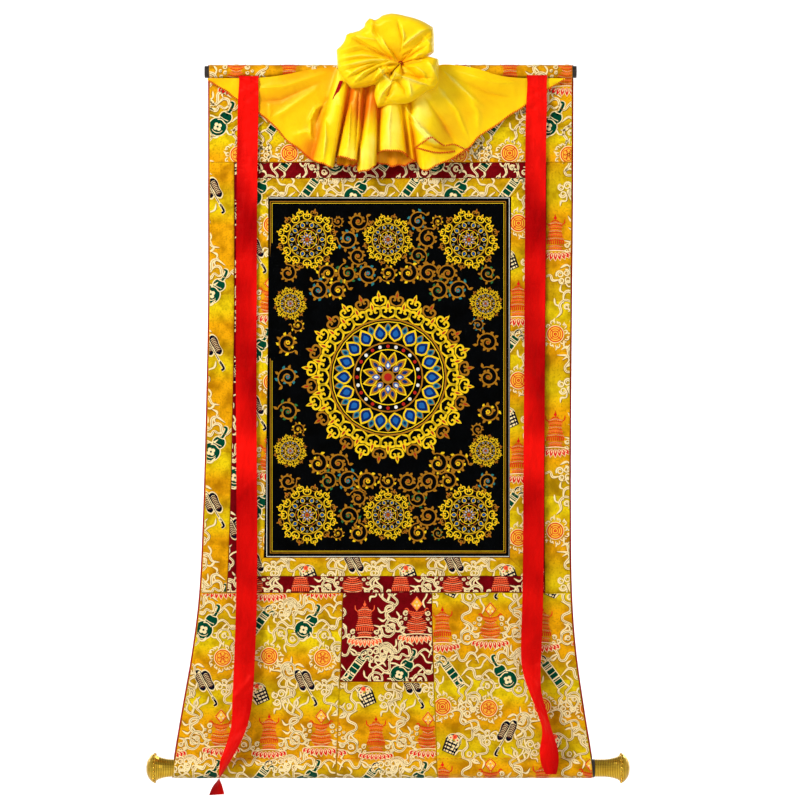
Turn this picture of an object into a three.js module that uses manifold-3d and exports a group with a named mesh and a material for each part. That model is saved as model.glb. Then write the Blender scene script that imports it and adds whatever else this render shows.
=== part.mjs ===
// A thangka hanging scroll: a painted cloth framed in red and yellow brocade, sewn on a lining.
// It hangs from a rod in the top sleeve and is weighted by a roller with two brass knobs.
// A silk veil is gathered up in a rosette over the top, and two red ribbons hang down in front.
// Millimetres, +X to the viewer's right, +Z up, and the viewer stands on the -Y side.
// The origin is the middle of the top rod.

import * as THREE from "three";
import { mergeVertices } from "three/addons/utils/BufferGeometryUtils.js";
import Module from "manifold-3d";

const wasm = await Module();
wasm.setup();

// Driving dimensions
const gap = 0.3;
const brocade = 1.2;
const liningCloth = 0.9;
const ribbonCloth = 1.2;
const veilCloth = 1;
const liningMargin = 1.8;
const rodRadius = 7.5;
const rodEnds = { left: -229, right: 235.5 };
const rollerRadius = 11;
const rollerDrop = 870;
const knobTip = 302;
const knobLength = 44;
const spigot = { radius: 8, length: 20 };
const halfWidth = 230;
const picture = { halfWidth: 153, top: 156, bottom: 607 };
const yellowBorder = 23;
const redStrip = { side: 20.5, top: 20, bottom: 21 };
const door = { halfWidth: 55, height: 111 };

// Levels of the seams, as a drop below the rod
const borderTop = picture.top - yellowBorder;
const borderBottom = picture.bottom + yellowBorder;
const headingSeam = borderTop - redStrip.top;
const skirtSeam = borderBottom + redStrip.bottom;
const doorBottom = skirtSeam + door.height;
const borderSide = picture.halfWidth + yellowBorder;
const stripSide = borderSide + redStrip.side;
const panelSide = halfWidth - liningMargin;

// The scroll's own outline: how far each side edge lies from the middle at each level
const sideEdges = [
  { drop: -10, left: 225, right: 232 },
  { drop: 150, left: 225, right: 231.5 },
  { drop: 300, left: 225, right: 230 },
  { drop: 425, left: 227.5, right: 229 },
  { drop: 550, left: 231, right: 228.8 },
  { drop: 651, left: 236, right: 230 },
  { drop: 721, left: 244.5, right: 235 },
  { drop: 796, left: 257.5, right: 245.5 },
  { drop: 858, left: 268, right: 255.5 },
  { drop: 884, left: 270.5, right: 258 },
];

// The soft waves of the hanging cloth: depth is how far they stand out, across and along their spans.
// They swell from drop start to full, and die out from fade to end.
const waves = {
  body: { depth: 1.6, across: 88, start: 130, full: 330, fade: 640, end: 850 },
  skirt: { depth: 2.2, across: 52, along: 95, start: 600, full: 700, fade: 760, end: 852 },
  curledEdge: { depth: 2, from: 190, to: 235 },
};

// The sleeve's crease below the rod: it leaves the rod's far side by this angle, in degrees
const crease = { leaves: 30, perRadius: 1.35, spare: 4, bend: 0.4, seam: 0.2 };

// The veil's folds from its left tip to its right: where each starts at the neck and ends at the hem.
// out is how far its face stands in front of the middle plane.
const veilFolds = [
  { neckX: -225, neckDrop: 8.5, neckOut: 5, hemX: -225, hemDrop: 11.5, hemOut: 5 },
  { neckX: -207, neckDrop: 8.5, neckOut: 6, hemX: -207, hemDrop: 22, hemOut: 4.2 },
  { neckX: -190, neckDrop: 8.5, neckOut: 6.2, hemX: -190, hemDrop: 34, hemOut: 4.5 },
  { neckX: -158, neckDrop: 8, neckOut: 7.5, hemX: -162, hemDrop: 52, hemOut: 5 },
  { neckX: -129, neckDrop: 5, neckOut: 11.5, hemX: -145, hemDrop: 66, hemOut: 6 },
  { neckX: -104, neckDrop: 0, neckOut: 13, hemX: -128, hemDrop: 85, hemOut: 7 },
  { neckX: -82, neckDrop: -3, neckOut: 14, hemX: -110, hemDrop: 100, hemOut: 8 },
  { neckX: -64, neckDrop: -4, neckOut: 15, hemX: -97, hemDrop: 111, hemOut: 7 },
  { neckX: -52, neckDrop: 10, neckOut: 20, hemX: -83, hemDrop: 117, hemOut: 26 },
  { neckX: -44, neckDrop: 18, neckOut: 15, hemX: -67, hemDrop: 124, hemOut: 7 },
  { neckX: -36, neckDrop: 18, neckOut: 21, hemX: -52, hemDrop: 111, hemOut: 25 },
  { neckX: -28, neckDrop: 18, neckOut: 15, hemX: -37, hemDrop: 114, hemOut: 8 },
  { neckX: -20, neckDrop: 18, neckOut: 22, hemX: -25, hemDrop: 129, hemOut: 27 },
  { neckX: -12, neckDrop: 18, neckOut: 15, hemX: -12, hemDrop: 119, hemOut: 9 },
  { neckX: 0, neckDrop: 20, neckOut: 22, hemX: 6, hemDrop: 112, hemOut: 24 },
  { neckX: 12, neckDrop: 20, neckOut: 15, hemX: 26, hemDrop: 110, hemOut: 8 },
  { neckX: 20, neckDrop: 20, neckOut: 20, hemX: 32, hemDrop: 111, hemOut: 16 },
  { neckX: 26, neckDrop: 18, neckOut: 15, hemX: 37, hemDrop: 110, hemOut: 9 },
  { neckX: 36, neckDrop: 14, neckOut: 22, hemX: 47, hemDrop: 125, hemOut: 26 },
  { neckX: 46, neckDrop: 8, neckOut: 19, hemX: 65, hemDrop: 117, hemOut: 22 },
  { neckX: 55, neckDrop: 0, neckOut: 16, hemX: 82, hemDrop: 109, hemOut: 13 },
  { neckX: 65, neckDrop: -7, neckOut: 14, hemX: 100, hemDrop: 97, hemOut: 9 },
  { neckX: 84, neckDrop: -7, neckOut: 13, hemX: 113, hemDrop: 83, hemOut: 8 },
  { neckX: 109, neckDrop: -3, neckOut: 12, hemX: 136, hemDrop: 67, hemOut: 6 },
  { neckX: 140, neckDrop: 6, neckOut: 10.5, hemX: 156, hemDrop: 53, hemOut: 5 },
  { neckX: 168, neckDrop: 8.5, neckOut: 7.2, hemX: 174, hemDrop: 41, hemOut: 4.8 },
  { neckX: 197, neckDrop: 8.5, neckOut: 6, hemX: 200, hemDrop: 22, hemOut: 4.2 },
  { neckX: 221, neckDrop: 8.5, neckOut: 5, hemX: 221, hemDrop: 10.5, hemOut: 5 },
];

// The rosette's rim, anticlockwise from +X as seen from the knot that gathers it.
// reach is how far the silk goes out from the knot, crest how far forward it is blown on the way there.
const knot = { x: 15.6, z: 7 };
const rosetteRim = [
  { turn: 5, reach: 48.3, crest: 39 },
  { turn: 15, reach: 33.8, crest: 28 },
  { turn: 18.4, reach: 43.5, crest: 39 },
  { turn: 27, reach: 46.7, crest: 45 },
  { turn: 35.5, reach: 51.6, crest: 41 },
  { turn: 42, reach: 56, crest: 47 },
  { turn: 48, reach: 60.5, crest: 41 },
  { turn: 55, reach: 59.8, crest: 38 },
  { turn: 62.4, reach: 59.3, crest: 45 },
  { turn: 72, reach: 59, crest: 48 },
  { turn: 82.8, reach: 59.3, crest: 49 },
  { turn: 91, reach: 61, crest: 48 },
  { turn: 100.2, reach: 63.5, crest: 49 },
  { turn: 110.6, reach: 64, crest: 47 },
  { turn: 117, reach: 62.5, crest: 43 },
  { turn: 120.4, reach: 63.1, crest: 38 },
  { turn: 124, reach: 68.6, crest: 43 },
  { turn: 130, reach: 67.5, crest: 46 },
  { turn: 135, reach: 65, crest: 42 },
  { turn: 141, reach: 66.5, crest: 46 },
  { turn: 147, reach: 72, crest: 41 },
  { turn: 152, reach: 76, crest: 33 },
  { turn: 157, reach: 74.8, crest: 45 },
  { turn: 161, reach: 75.5, crest: 41 },
  { turn: 164.5, reach: 77.5, crest: 49 },
  { turn: 168, reach: 81, crest: 44 },
  { turn: 173, reach: 79.4, crest: 51 },
  { turn: 178, reach: 78.5, crest: 45 },
  { turn: 183, reach: 78, crest: 52 },
  { turn: 188, reach: 77.2, crest: 46 },
  { turn: 193, reach: 74.5, crest: 51 },
  { turn: 199, reach: 71.4, crest: 44 },
  { turn: 203, reach: 69.5, crest: 50 },
  { turn: 207, reach: 67.2, crest: 42 },
  { turn: 212, reach: 55, crest: 44 },
  { turn: 216, reach: 45.6, crest: 36 },
  { turn: 220, reach: 40.5, crest: 28 },
  { turn: 231, reach: 52, crest: 33 },
  { turn: 242, reach: 61, crest: 39 },
  { turn: 252, reach: 54, crest: 43 },
  { turn: 262, reach: 51, crest: 37 },
  { turn: 270, reach: 50.5, crest: 46 },
  { turn: 279, reach: 50.5, crest: 51 },
  { turn: 291, reach: 49, crest: 47 },
  { turn: 304, reach: 48, crest: 53 },
  { turn: 315, reach: 48.5, crest: 48 },
  { turn: 324, reach: 53, crest: 54 },
  { turn: 333, reach: 53, crest: 44 },
  { turn: 342, reach: 49.5, crest: 49 },
  { turn: 352, reach: 48, crest: 51 },
];

// The swell of the rosette between the knot and its rim
const rosetteRings = [
  { part: 0.1, swell: 0.3 },
  { part: 0.28, swell: 0.74 },
  { part: 0.5, swell: 1 },
  { part: 0.72, swell: 0.98 },
  { part: 0.88, swell: 0.74 },
  { part: 0.97, swell: 0.4 },
  { part: 1, swell: 0.1 },
  { part: 0.85, swell: -0.16 },
  { part: 0.45, swell: -0.2 },
];
const rosetteBack = { out: 16, lean: 10, dent: 3 };
const knotHollow = 20;

// How much of a ribbon's turn goes into depth: its folds are pressed flat against the cloth
const ribbonTwist = 0.45;

// The ribbons' runs: turn is how far the width has turned from lying flat, in degrees
const ribbonRuns = {
  left: [
    { drop: 6, x: -173.5, out: 9.4, width: 25, turn: 0 },
    { drop: 14, x: -173.5, out: 9.9, width: 24, turn: 5 },
    { drop: 26, x: -173.8, out: 9.1, width: 25, turn: -3 },
    { drop: 44, x: -174.3, out: 8.3, width: 26, turn: 0 },
    { drop: 70, x: -175, out: 6, width: 26, turn: 0 },
    { drop: 140, x: -176, out: 6, width: 26, turn: 4 },
    { drop: 210, x: -176.5, out: 5.2, width: 26, turn: 0 },
    { drop: 300, x: -176.8, out: 6.6, width: 26, turn: -5 },
    { drop: 400, x: -177, out: 6, width: 26, turn: 2 },
    { drop: 490, x: -176.4, out: 7.6, width: 26, turn: 6 },
    { drop: 580, x: -176, out: 7, width: 26, turn: -2 },
    { drop: 660, x: -176.4, out: 9.5, width: 26, turn: 0 },
    { drop: 730, x: -178.5, out: 12, width: 26, turn: 4 },
    { drop: 780, x: -181, out: 14.5, width: 26, turn: 14 },
    { drop: 810, x: -184, out: 17, width: 26, turn: 35 },
    { drop: 834, x: -191, out: 19.5, width: 26, turn: 48 },
    { drop: 858, x: -202, out: 20.5, width: 26, turn: 56 },
    { drop: 878, x: -210, out: 19.5, width: 25, turn: 62 },
    { drop: 892, x: -213, out: 17, width: 22, turn: 45 },
    { drop: 902, x: -214, out: 15.5, width: 18, turn: 30 },
  ],
  right: [
    { drop: 5, x: 185.8, out: 9, width: 26, turn: 0 },
    { drop: 14, x: 185.8, out: 9.4, width: 24.5, turn: -5 },
    { drop: 26, x: 185.6, out: 8.8, width: 25, turn: 3 },
    { drop: 44, x: 185.2, out: 8.2, width: 26, turn: 0 },
    { drop: 70, x: 184.6, out: 6, width: 26, turn: 0 },
    { drop: 140, x: 184, out: 5.6, width: 26, turn: -3 },
    { drop: 210, x: 183.7, out: 6.2, width: 26, turn: 3 },
    { drop: 300, x: 183.2, out: 5.6, width: 26, turn: -4 },
    { drop: 400, x: 182.6, out: 7, width: 26, turn: 2 },
    { drop: 490, x: 182, out: 6.2, width: 26, turn: -5 },
    { drop: 580, x: 181.4, out: 8.4, width: 26, turn: 4 },
    { drop: 660, x: 180.4, out: 9, width: 26, turn: 0 },
    { drop: 715, x: 178.6, out: 11, width: 26, turn: 8 },
    { drop: 745, x: 178.6, out: 14.5, width: 26, turn: 30 },
    { drop: 772, x: 183, out: 18, width: 26, turn: 54 },
    { drop: 798, x: 191.5, out: 20, width: 25, turn: 62 },
    { drop: 822, x: 198, out: 20, width: 25, turn: 60 },
    { drop: 846, x: 200, out: 21, width: 26, turn: 30 },
    { drop: 862, x: 201, out: 21, width: 22, turn: 12 },
    { drop: 877, x: 203, out: 19, width: 12, turn: 5 },
  ],
};

// The red tape that gathers the veil shows in the slit beside the rosette
const tape = { width: 4.5, top: { x: -60, drop: 14, out: 24 }, foot: { x: -69, drop: 37, out: 22.5 } };

// Half of a knob's outline: r at each distance from the neck's end
const knobProfile = [
  { along: 0, r: 11 },
  { along: 13, r: 11 },
  { along: 18, r: 11.5 },
  { along: 23, r: 12.5 },
  { along: 28, r: 14 },
  { along: 32, r: 16.6 },
  { along: 33.5, r: 18 },
  { along: 35.5, r: 18 },
  { along: 38, r: 16.2 },
  { along: 41, r: 12.6 },
  { along: 43.2, r: 8.5 },
  { along: 44, r: 4 },
];

// Grids of the sheets
const columnStep = 76;
const rowStep = 48;
const sleeveSteps = 9;
const veilGrid = { rows: 6, splits: 2 };
const ribbonColumns = 2;
const knobSides = 22;
const rodSides = 20;

const frontLayer = { side: -1, thickness: brocade };
const backLayer = { side: 1, thickness: liningCloth };

const colours = {
  yellow: 0xd9a91c,
  red: 0x7a0c12,
  satin: 0xc8100f,
  lining: 0x9c1216,
  silk: 0xf2c416,
  ground: 0x0d0f12,
  brass: 0xc9a227,
  ebony: 0x1a1210,
};

function material(colour, roughness, metalness = 0) {
  return new THREE.MeshStandardMaterial({ color: colour, roughness, metalness });
}

const fabrics = {
  yellow: material(colours.yellow, 0.55),
  red: material(colours.red, 0.6),
  satin: material(colours.satin, 0.4),
  lining: material(colours.lining, 0.8),
  silk: material(colours.silk, 0.45),
  ground: material(colours.ground, 0.8),
  brass: material(colours.brass, 0.25, 1),
  ebony: material(colours.ebony, 0.5),
};

const scroll = new THREE.Group();

function place(name, geometry, finish) {
  const mesh = new THREE.Mesh(geometry, finish);
  mesh.name = name;
  scroll.add(mesh);
  return mesh;
}

// A smooth curve through a table's rows, read at one value of the key column
function readTable(rows, key, column, at) {
  const last = rows.length - 2;
  let i = 0;
  while (i < last && rows[i + 1][key] < at) i += 1;
  const a = rows[i];
  const b = rows[i + 1];
  const before = rows[Math.max(i - 1, 0)];
  const after = rows[Math.min(i + 2, rows.length - 1)];
  const span = b[key] - a[key];
  const slopeA = (b[column] - before[column]) / (b[key] - before[key]);
  const slopeB = (after[column] - a[column]) / (after[key] - a[key]);
  const t = THREE.MathUtils.clamp((at - a[key]) / span, 0, 1);
  const u = 1 - t;
  return (
    u * u * (1 + 2 * t) * a[column] +
    t * t * (3 - 2 * t) * b[column] +
    span * t * u * (u * slopeA - t * slopeB)
  );
}

// How strongly a wave shows at one level
function strength({ start, full, fade, end }, drop) {
  const { smoothstep } = THREE.MathUtils;
  return smoothstep(drop, start, full) * (1 - smoothstep(drop, fade, end));
}

function wave(x, z) {
  const { body, skirt, curledEdge } = waves;
  const bodyNow = strength(body, -z);
  const curl = THREE.MathUtils.smoothstep(Math.abs(x), curledEdge.from, curledEdge.to);
  return (
    body.depth * bodyNow * Math.sin(x / body.across + 0.7) +
    skirt.depth * strength(skirt, -z) * Math.sin(x / skirt.across + z / skirt.along) -
    curledEdge.depth * bodyNow * curl
  );
}

// A point of the hanging scroll: x across the flat cloth, out from its middle plane, z up
function hang(x, out, z, side) {
  const column = x < 0 ? "left" : "right";
  const edge = readTable(sideEdges, "drop", column, -z);
  return new THREE.Vector3((x * edge) / halfWidth, side * out + wave(x, z), z);
}

// One layer's way round a rod, from the flat over a soft crease and half way round.
// u is the distance out of the middle plane, v the distance from the rod towards the flat cloth.
function sleeveCurve(radius, layer) {
  const r = radius + gap + layer.thickness / 2;
  const flatOut = gap / 2 + layer.thickness / 2;
  const flatEnd = creaseEnd(radius);
  const bend = crease.bend * r;
  const leaves = THREE.MathUtils.degToRad(crease.leaves);
  const start = new THREE.Vector2(Math.sin(leaves), Math.cos(leaves)).multiplyScalar(r);
  const heading = new THREE.Vector2(Math.cos(leaves), -Math.sin(leaves));
  const curve = new THREE.CurvePath();
  curve.add(
    new THREE.CubicBezierCurve(
      new THREE.Vector2(flatOut, flatEnd),
      new THREE.Vector2(flatOut, flatEnd - bend),
      start.clone().addScaledVector(heading, -bend),
      start,
    ),
  );
  const quarter = Math.PI / 2;
  curve.add(new THREE.EllipseCurve(0, 0, r, r, quarter - leaves, crease.seam / r - quarter, true));
  return curve;
}

// Where the flat cloth ends and the sleeve's crease begins
function creaseEnd(radius) {
  return radius * crease.perRadius + crease.spare;
}

const flatStart = creaseEnd(rodRadius);
const flatStop = rollerDrop - creaseEnd(rollerRadius);

// A point on a layer: down is the length of cloth below the rod's level, lift how far in front of its middle
function layerPoint(x, down, lift, layer) {
  const onTop = down < flatStart;
  if (!onTop && down <= flatStop) {
    return hang(x, gap / 2 + layer.thickness / 2 + lift, -down, layer.side);
  }
  const curve = onTop ? layer.topSleeve : layer.lowSleeve;
  const run = onTop ? flatStart - down : down - flatStop;
  const t = THREE.MathUtils.clamp(run / curve.getLength(), 0, 1);
  const p = curve.getPoint(t);
  const tangent = curve.getTangent(t);
  const u = p.x - tangent.y * lift;
  const v = p.y + tangent.x * lift;
  return hang(x, u, onTop ? -v : v - rollerDrop, layer.side);
}

for (const layer of [frontLayer, backLayer]) {
  layer.topSleeve = sleeveCurve(rodRadius, layer);
  layer.lowSleeve = sleeveCurve(rollerRadius, layer);
  layer.top = flatStart - layer.topSleeve.getLength();
  layer.bottom = flatStop + layer.lowSleeve.getLength();
}

function evenly(from, to, step) {
  const count = Math.max(1, Math.round((to - from) / step));
  return Array.from({ length: count }, (_, i) => from + ((to - from) * i) / count);
}

// The seam lines that all sheets share as grid lines, filled in evenly
function stations(seams, step) {
  const lines = [];
  for (let i = 0; i + 1 < seams.length; i += 1) {
    lines.push(...evenly(seams[i], seams[i + 1], step));
  }
  lines.push(seams.at(-1));
  return lines;
}

const columnsX = stations(
  [
    -panelSide, -stripSide, -borderSide, -picture.halfWidth, -door.halfWidth,
    door.halfWidth, picture.halfWidth, borderSide, stripSide, panelSide,
  ],
  columnStep,
);
const rowsDown = stations(
  [
    flatStart, headingSeam, borderTop, picture.top, picture.bottom,
    borderBottom, skirtSeam, doorBottom, flatStop,
  ],
  rowStep,
);

function between(lines, from, to) {
  return [from, ...lines.filter((v) => v > from + 1 && v < to - 1), to];
}

// The rows of one sheet, with the sleeves' own rows where it goes round a rod
function sheetRows(from, to, layer) {
  const rows = between(rowsDown, Math.max(from, flatStart), Math.min(to, flatStop));
  const topRun = flatStart - from;
  const lowRun = to - flatStop;
  if (topRun > 0) rows.unshift(...evenly(from, flatStart, topRun / sleeveSteps));
  if (lowRun > 0) rows.push(...evenly(flatStop, to, lowRun / sleeveSteps).slice(1), to);
  return rows;
}

// A closed thin body over a grid: point(row, column, face) gives its back face at 0 and its front at 1
function closedSheet(rowCount, columnCount, point) {
  const positions = [];
  const index = [];
  const at = (row, column, face) => (face * rowCount + row) * columnCount + column;
  for (let face = 0; face < 2; face += 1) {
    for (let row = 0; row < rowCount; row += 1) {
      for (let column = 0; column < columnCount; column += 1) {
        positions.push(...point(row, column, face).toArray());
      }
    }
  }
  const quad = (a, b, c, d) => index.push(a, b, c, a, c, d);
  for (let row = 0; row + 1 < rowCount; row += 1) {
    for (let column = 0; column + 1 < columnCount; column += 1) {
      quad(at(row, column, 1), at(row + 1, column, 1), at(row + 1, column + 1, 1), at(row, column + 1, 1));
      quad(at(row, column, 0), at(row, column + 1, 0), at(row + 1, column + 1, 0), at(row + 1, column, 0));
    }
    const right = columnCount - 1;
    quad(at(row, 0, 0), at(row + 1, 0, 0), at(row + 1, 0, 1), at(row, 0, 1));
    quad(at(row, right, 1), at(row + 1, right, 1), at(row + 1, right, 0), at(row, right, 0));
  }
  for (let column = 0; column + 1 < columnCount; column += 1) {
    const foot = rowCount - 1;
    quad(at(0, column, 1), at(0, column + 1, 1), at(0, column + 1, 0), at(0, column, 0));
    quad(at(foot, column, 0), at(foot, column + 1, 0), at(foot, column + 1, 1), at(foot, column, 1));
  }
  return facingOut(positions, index);
}

function geometryOf(positions, index) {
  const geometry = new THREE.BufferGeometry();
  geometry.setAttribute("position", new THREE.Float32BufferAttribute(positions, 3));
  geometry.setIndex(index);
  return geometry;
}

// Turns the faces of a closed mesh outwards, whichever way its grid was walked
function facingOut(positions, index) {
  let volume = 0;
  const corner = (i) => new THREE.Vector3().fromArray(positions, 3 * index[i]);
  for (let i = 0; i < index.length; i += 3) {
    volume += corner(i).dot(corner(i + 1).cross(corner(i + 2)));
  }
  if (volume < 0) index.reverse();
  const geometry = geometryOf(positions, index);
  geometry.computeVertexNormals();
  return geometry;
}

// A rectangle of cloth sewn into the scroll, a seam's gap short of its neighbours
function clothPanel(name, finish, left, right, from, to, layer = frontLayer) {
  const inset = gap / 2;
  const columns = between(columnsX, left + inset, right - inset);
  const rows = sheetRows(from + inset, to - inset, layer);
  const half = layer.thickness / 2;
  const point = (row, column, face) =>
    layerPoint(columns[column], rows[row], face ? half : -half, layer);
  return place(name, closedSheet(rows.length, columns.length, point), finish);
}

// A border strip with mitred ends: the points of its inner edge, each matched with one of its outer edge
function mitredStrip(name, inner, outer) {
  const point = (row, column, face) => {
    const part = gap / 2 / yellowBorder;
    const p = new THREE.Vector2().lerpVectors(inner[column], outer[column], row ? 1 - part : part);
    return layerPoint(p.x, p.y, face ? brocade / 2 : -brocade / 2, frontLayer);
  };
  place(name, closedSheet(2, inner.length, point), fabrics.yellow);
}

// The lining is cut a little wider than the front, so its edge shows as a red line
function makeLining() {
  const { top, bottom } = backLayer;
  clothPanel("lining", fabrics.lining, -halfWidth, halfWidth, top, bottom, backLayer);
}

function makeHeadingAndSides() {
  clothPanel("heading_panel", fabrics.yellow, -panelSide, panelSide, frontLayer.top, headingSeam);
  clothPanel("side_panel_left", fabrics.yellow, -panelSide, -stripSide, headingSeam, skirtSeam);
  clothPanel("side_panel_right", fabrics.yellow, stripSide, panelSide, headingSeam, skirtSeam);
}

function makeRedStrips() {
  clothPanel("red_strip_top", fabrics.red, -stripSide, stripSide, headingSeam, borderTop);
  clothPanel("red_strip_bottom", fabrics.red, -stripSide, stripSide, borderBottom, skirtSeam);
  clothPanel("red_strip_left", fabrics.red, -stripSide, -borderSide, borderTop, borderBottom);
  clothPanel("red_strip_right", fabrics.red, borderSide, stripSide, borderTop, borderBottom);
}

// The yellow border's four strips meet in mitres at the corners
function makeYellowBorder() {
  const trim = gap / 2;
  const spread = (lines, inner, outer) => {
    const inside = between(lines, inner[0] + trim, inner[1] - trim);
    return { inner: inside, outer: [outer[0] + trim, ...inside.slice(1, -1), outer[1] - trim] };
  };
  const { halfWidth: half, top, bottom } = picture;
  const across = spread(columnsX, [-half, half], [-borderSide, borderSide]);
  const along = spread(rowsDown, [top, bottom], [borderTop, borderBottom]);
  const level = (xs, down) => xs.map((x) => new THREE.Vector2(x, down));
  const upright = (x, downs) => downs.map((down) => new THREE.Vector2(x, down));
  mitredStrip("border_top", level(across.inner, top), level(across.outer, borderTop));
  mitredStrip("border_bottom", level(across.inner, bottom), level(across.outer, borderBottom));
  mitredStrip("border_left", upright(-half, along.inner), upright(-borderSide, along.outer));
  mitredStrip("border_right", upright(half, along.inner), upright(borderSide, along.outer));
}

function makePicture() {
  const { halfWidth: half, top, bottom } = picture;
  clothPanel("picture_cloth", fabrics.ground, -half, half, top, bottom);
}

// The flared foot: two wide panels, the red door between them and a yellow piece under the door
function makeSkirt() {
  const { bottom } = frontLayer;
  const side = door.halfWidth;
  clothPanel("skirt_panel_left", fabrics.yellow, -panelSide, -side, skirtSeam, bottom);
  clothPanel("skirt_panel_right", fabrics.yellow, side, panelSide, skirtSeam, bottom);
  clothPanel("door_panel", fabrics.red, -side, side, skirtSeam, doorBottom);
  clothPanel("skirt_panel_middle", fabrics.yellow, -side, side, doorBottom, bottom);
}

function makeRods() {
  const rod = new THREE.CylinderGeometry(rodRadius, rodRadius, rodEnds.right - rodEnds.left, rodSides);
  rod.rotateZ(Math.PI / 2);
  place("top_rod", rod, fabrics.ebony).position.x = (rodEnds.left + rodEnds.right) / 2;

  const shoulder = knobTip - knobLength - gap;
  const outline = [
    [0, -shoulder - spigot.length],
    [spigot.radius, -shoulder - spigot.length],
    [spigot.radius, -shoulder],
    [rollerRadius, -shoulder],
    [rollerRadius, shoulder],
    [spigot.radius, shoulder],
    [spigot.radius, shoulder + spigot.length],
    [0, shoulder + spigot.length],
  ].map(([r, along]) => new THREE.Vector2(r, along));
  const roller = new THREE.LatheGeometry(outline, rodSides);
  roller.rotateZ(-Math.PI / 2);
  place("roller", roller, fabrics.ebony).position.z = -rollerDrop;
}

// A trumpet-shaped cap with a blind socket that slips over the roller's spigot
function makeKnob(name, side) {
  const socket = spigot.radius + gap;
  const outline = [
    [0, spigot.length + gap],
    [socket, spigot.length + gap],
    [socket, 0],
    ...knobProfile.map(({ along, r }) => [r, along]),
    [0, knobLength],
  ].map(([r, along]) => new THREE.Vector2(r, along));
  const knob = new THREE.LatheGeometry(outline, knobSides);
  knob.rotateZ(-side * (Math.PI / 2));
  const mesh = place(name, knob, fabrics.brass);
  mesh.position.set(side * (knobTip - knobLength), 0, -rollerDrop);
}

// A ribbon hanging in front: a flat strip whose width turns about its own length
function makeRibbon(name, runs) {
  const rows = [];
  for (let i = 0; i + 1 < runs.length; i += 1) {
    const steps = Math.max(1, Math.round((runs[i + 1].drop - runs[i].drop) / rowStep));
    for (let k = 0; k < steps; k += 1) {
      rows.push(THREE.MathUtils.lerp(runs[i].drop, runs[i + 1].drop, k / steps));
    }
  }
  rows.push(runs.at(-1).drop);
  const point = (row, column, face) => {
    const drop = rows[row];
    const read = (key) => readTable(runs, "drop", key, drop);
    const turn = THREE.MathUtils.degToRad(read("turn"));
    const breadth = new THREE.Vector2(Math.cos(turn), Math.sin(turn) * ribbonTwist);
    const facing = new THREE.Vector2(-breadth.y, breadth.x).normalize();
    const across = (column / ribbonColumns - 0.5) * read("width");
    const lift = face ? ribbonCloth : 0;
    const x = read("x") + across * breadth.x + lift * facing.x;
    const out = read("out") + across * breadth.y + lift * facing.y;
    return new THREE.Vector3(x, -out, -drop);
  };
  place(name, closedSheet(rows.length, ribbonColumns + 1, point), fabrics.satin);
}

function makeTape() {
  const point = (row, column, face) => {
    const end = row ? tape.foot : tape.top;
    const x = end.x + (column ? tape.width : 0);
    return new THREE.Vector3(x, -end.out - (face ? ribbonCloth : 0), -end.drop);
  };
  place("gather_tape", closedSheet(2, 2, point), fabrics.lining);
}

function solidOf(geometry) {
  const bare = geometry.clone();
  bare.deleteAttribute("normal");
  bare.deleteAttribute("uv");
  const merged = mergeVertices(bare, 1e-4);
  const mesh = new wasm.Mesh({
    numProp: 3,
    vertProperties: merged.attributes.position.array,
    triVerts: new Uint32Array(merged.index.array),
  });
  return new wasm.Manifold(mesh);
}

function geometryFrom(solid) {
  const mesh = solid.getMesh();
  const geometry = geometryOf(Array.from(mesh.vertProperties), Array.from(mesh.triVerts));
  geometry.computeVertexNormals();
  return geometry;
}

// The hanging part of the veil, from its tips and neck down to the hem
function veilDrape() {
  const { rows, splits } = veilGrid;
  const columns = (veilFolds.length - 1) * splits + 1;
  veilFolds.forEach((fold, i) => {
    fold.place = i;
  });
  const point = (row, column, face) => {
    const at = column / splits;
    const read = (key) => readTable(veilFolds, "place", key, at);
    const t = row / (rows - 1);
    const mid = Math.sin(Math.PI * t);
    const x = THREE.MathUtils.lerp(read("neckX"), read("hemX"), t);
    const drop = THREE.MathUtils.lerp(read("neckDrop"), read("hemDrop"), t);
    const out = THREE.MathUtils.lerp(read("neckOut"), read("hemOut"), Math.pow(t, 0.8)) + mid;
    return new THREE.Vector3(x, -out - (face ? veilCloth : 0), -drop);
  };
  return closedSheet(rows, columns, point);
}

// The rosette is one gathered puff: rings of silk round the knot, closed at the back
function rosette() {
  const around = rosetteRim.length;
  const positions = [knot.x, -knotHollow, knot.z];
  const index = [];
  for (const { part, swell } of rosetteRings) {
    for (const { turn, reach, crest } of rosetteRim) {
      const angle = THREE.MathUtils.degToRad(turn);
      const back = rosetteBack.out - rosetteBack.lean * Math.max(0, Math.sin(angle)) * part;
      const out = back + (crest - back) * swell;
      const r = reach * part;
      positions.push(knot.x + r * Math.cos(angle), -out, knot.z + r * Math.sin(angle));
    }
  }
  positions.push(knot.x, rosetteBack.dent - rosetteBack.out, knot.z);
  const rings = rosetteRings.length;
  const end = positions.length / 3 - 1;
  const at = (ring, k) => 1 + ring * around + (k % around);
  for (let k = 0; k < around; k += 1) {
    index.push(0, at(0, k), at(0, k + 1));
    index.push(end, at(rings - 1, k + 1), at(rings - 1, k));
    for (let ring = 0; ring + 1 < rings; ring += 1) {
      index.push(at(ring, k), at(ring + 1, k), at(ring + 1, k + 1));
      index.push(at(ring, k), at(ring + 1, k + 1), at(ring, k + 1));
    }
  }
  return facingOut(positions, index);
}

// The whole veil is one silk: its drape and the rosette over it
function makeVeil() {
  place("veil", geometryFrom(solidOf(veilDrape()).add(solidOf(rosette()))), fabrics.silk);
}

makeLining();
makeHeadingAndSides();
makeRedStrips();
makeYellowBorder();
makePicture();
makeSkirt();
makeRods();
makeKnob("knob_left", -1);
makeKnob("knob_right", 1);
makeRibbon("ribbon_left", ribbonRuns.left);
makeRibbon("ribbon_right", ribbonRuns.right);
makeTape();
makeVeil();

export default scroll;
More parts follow.
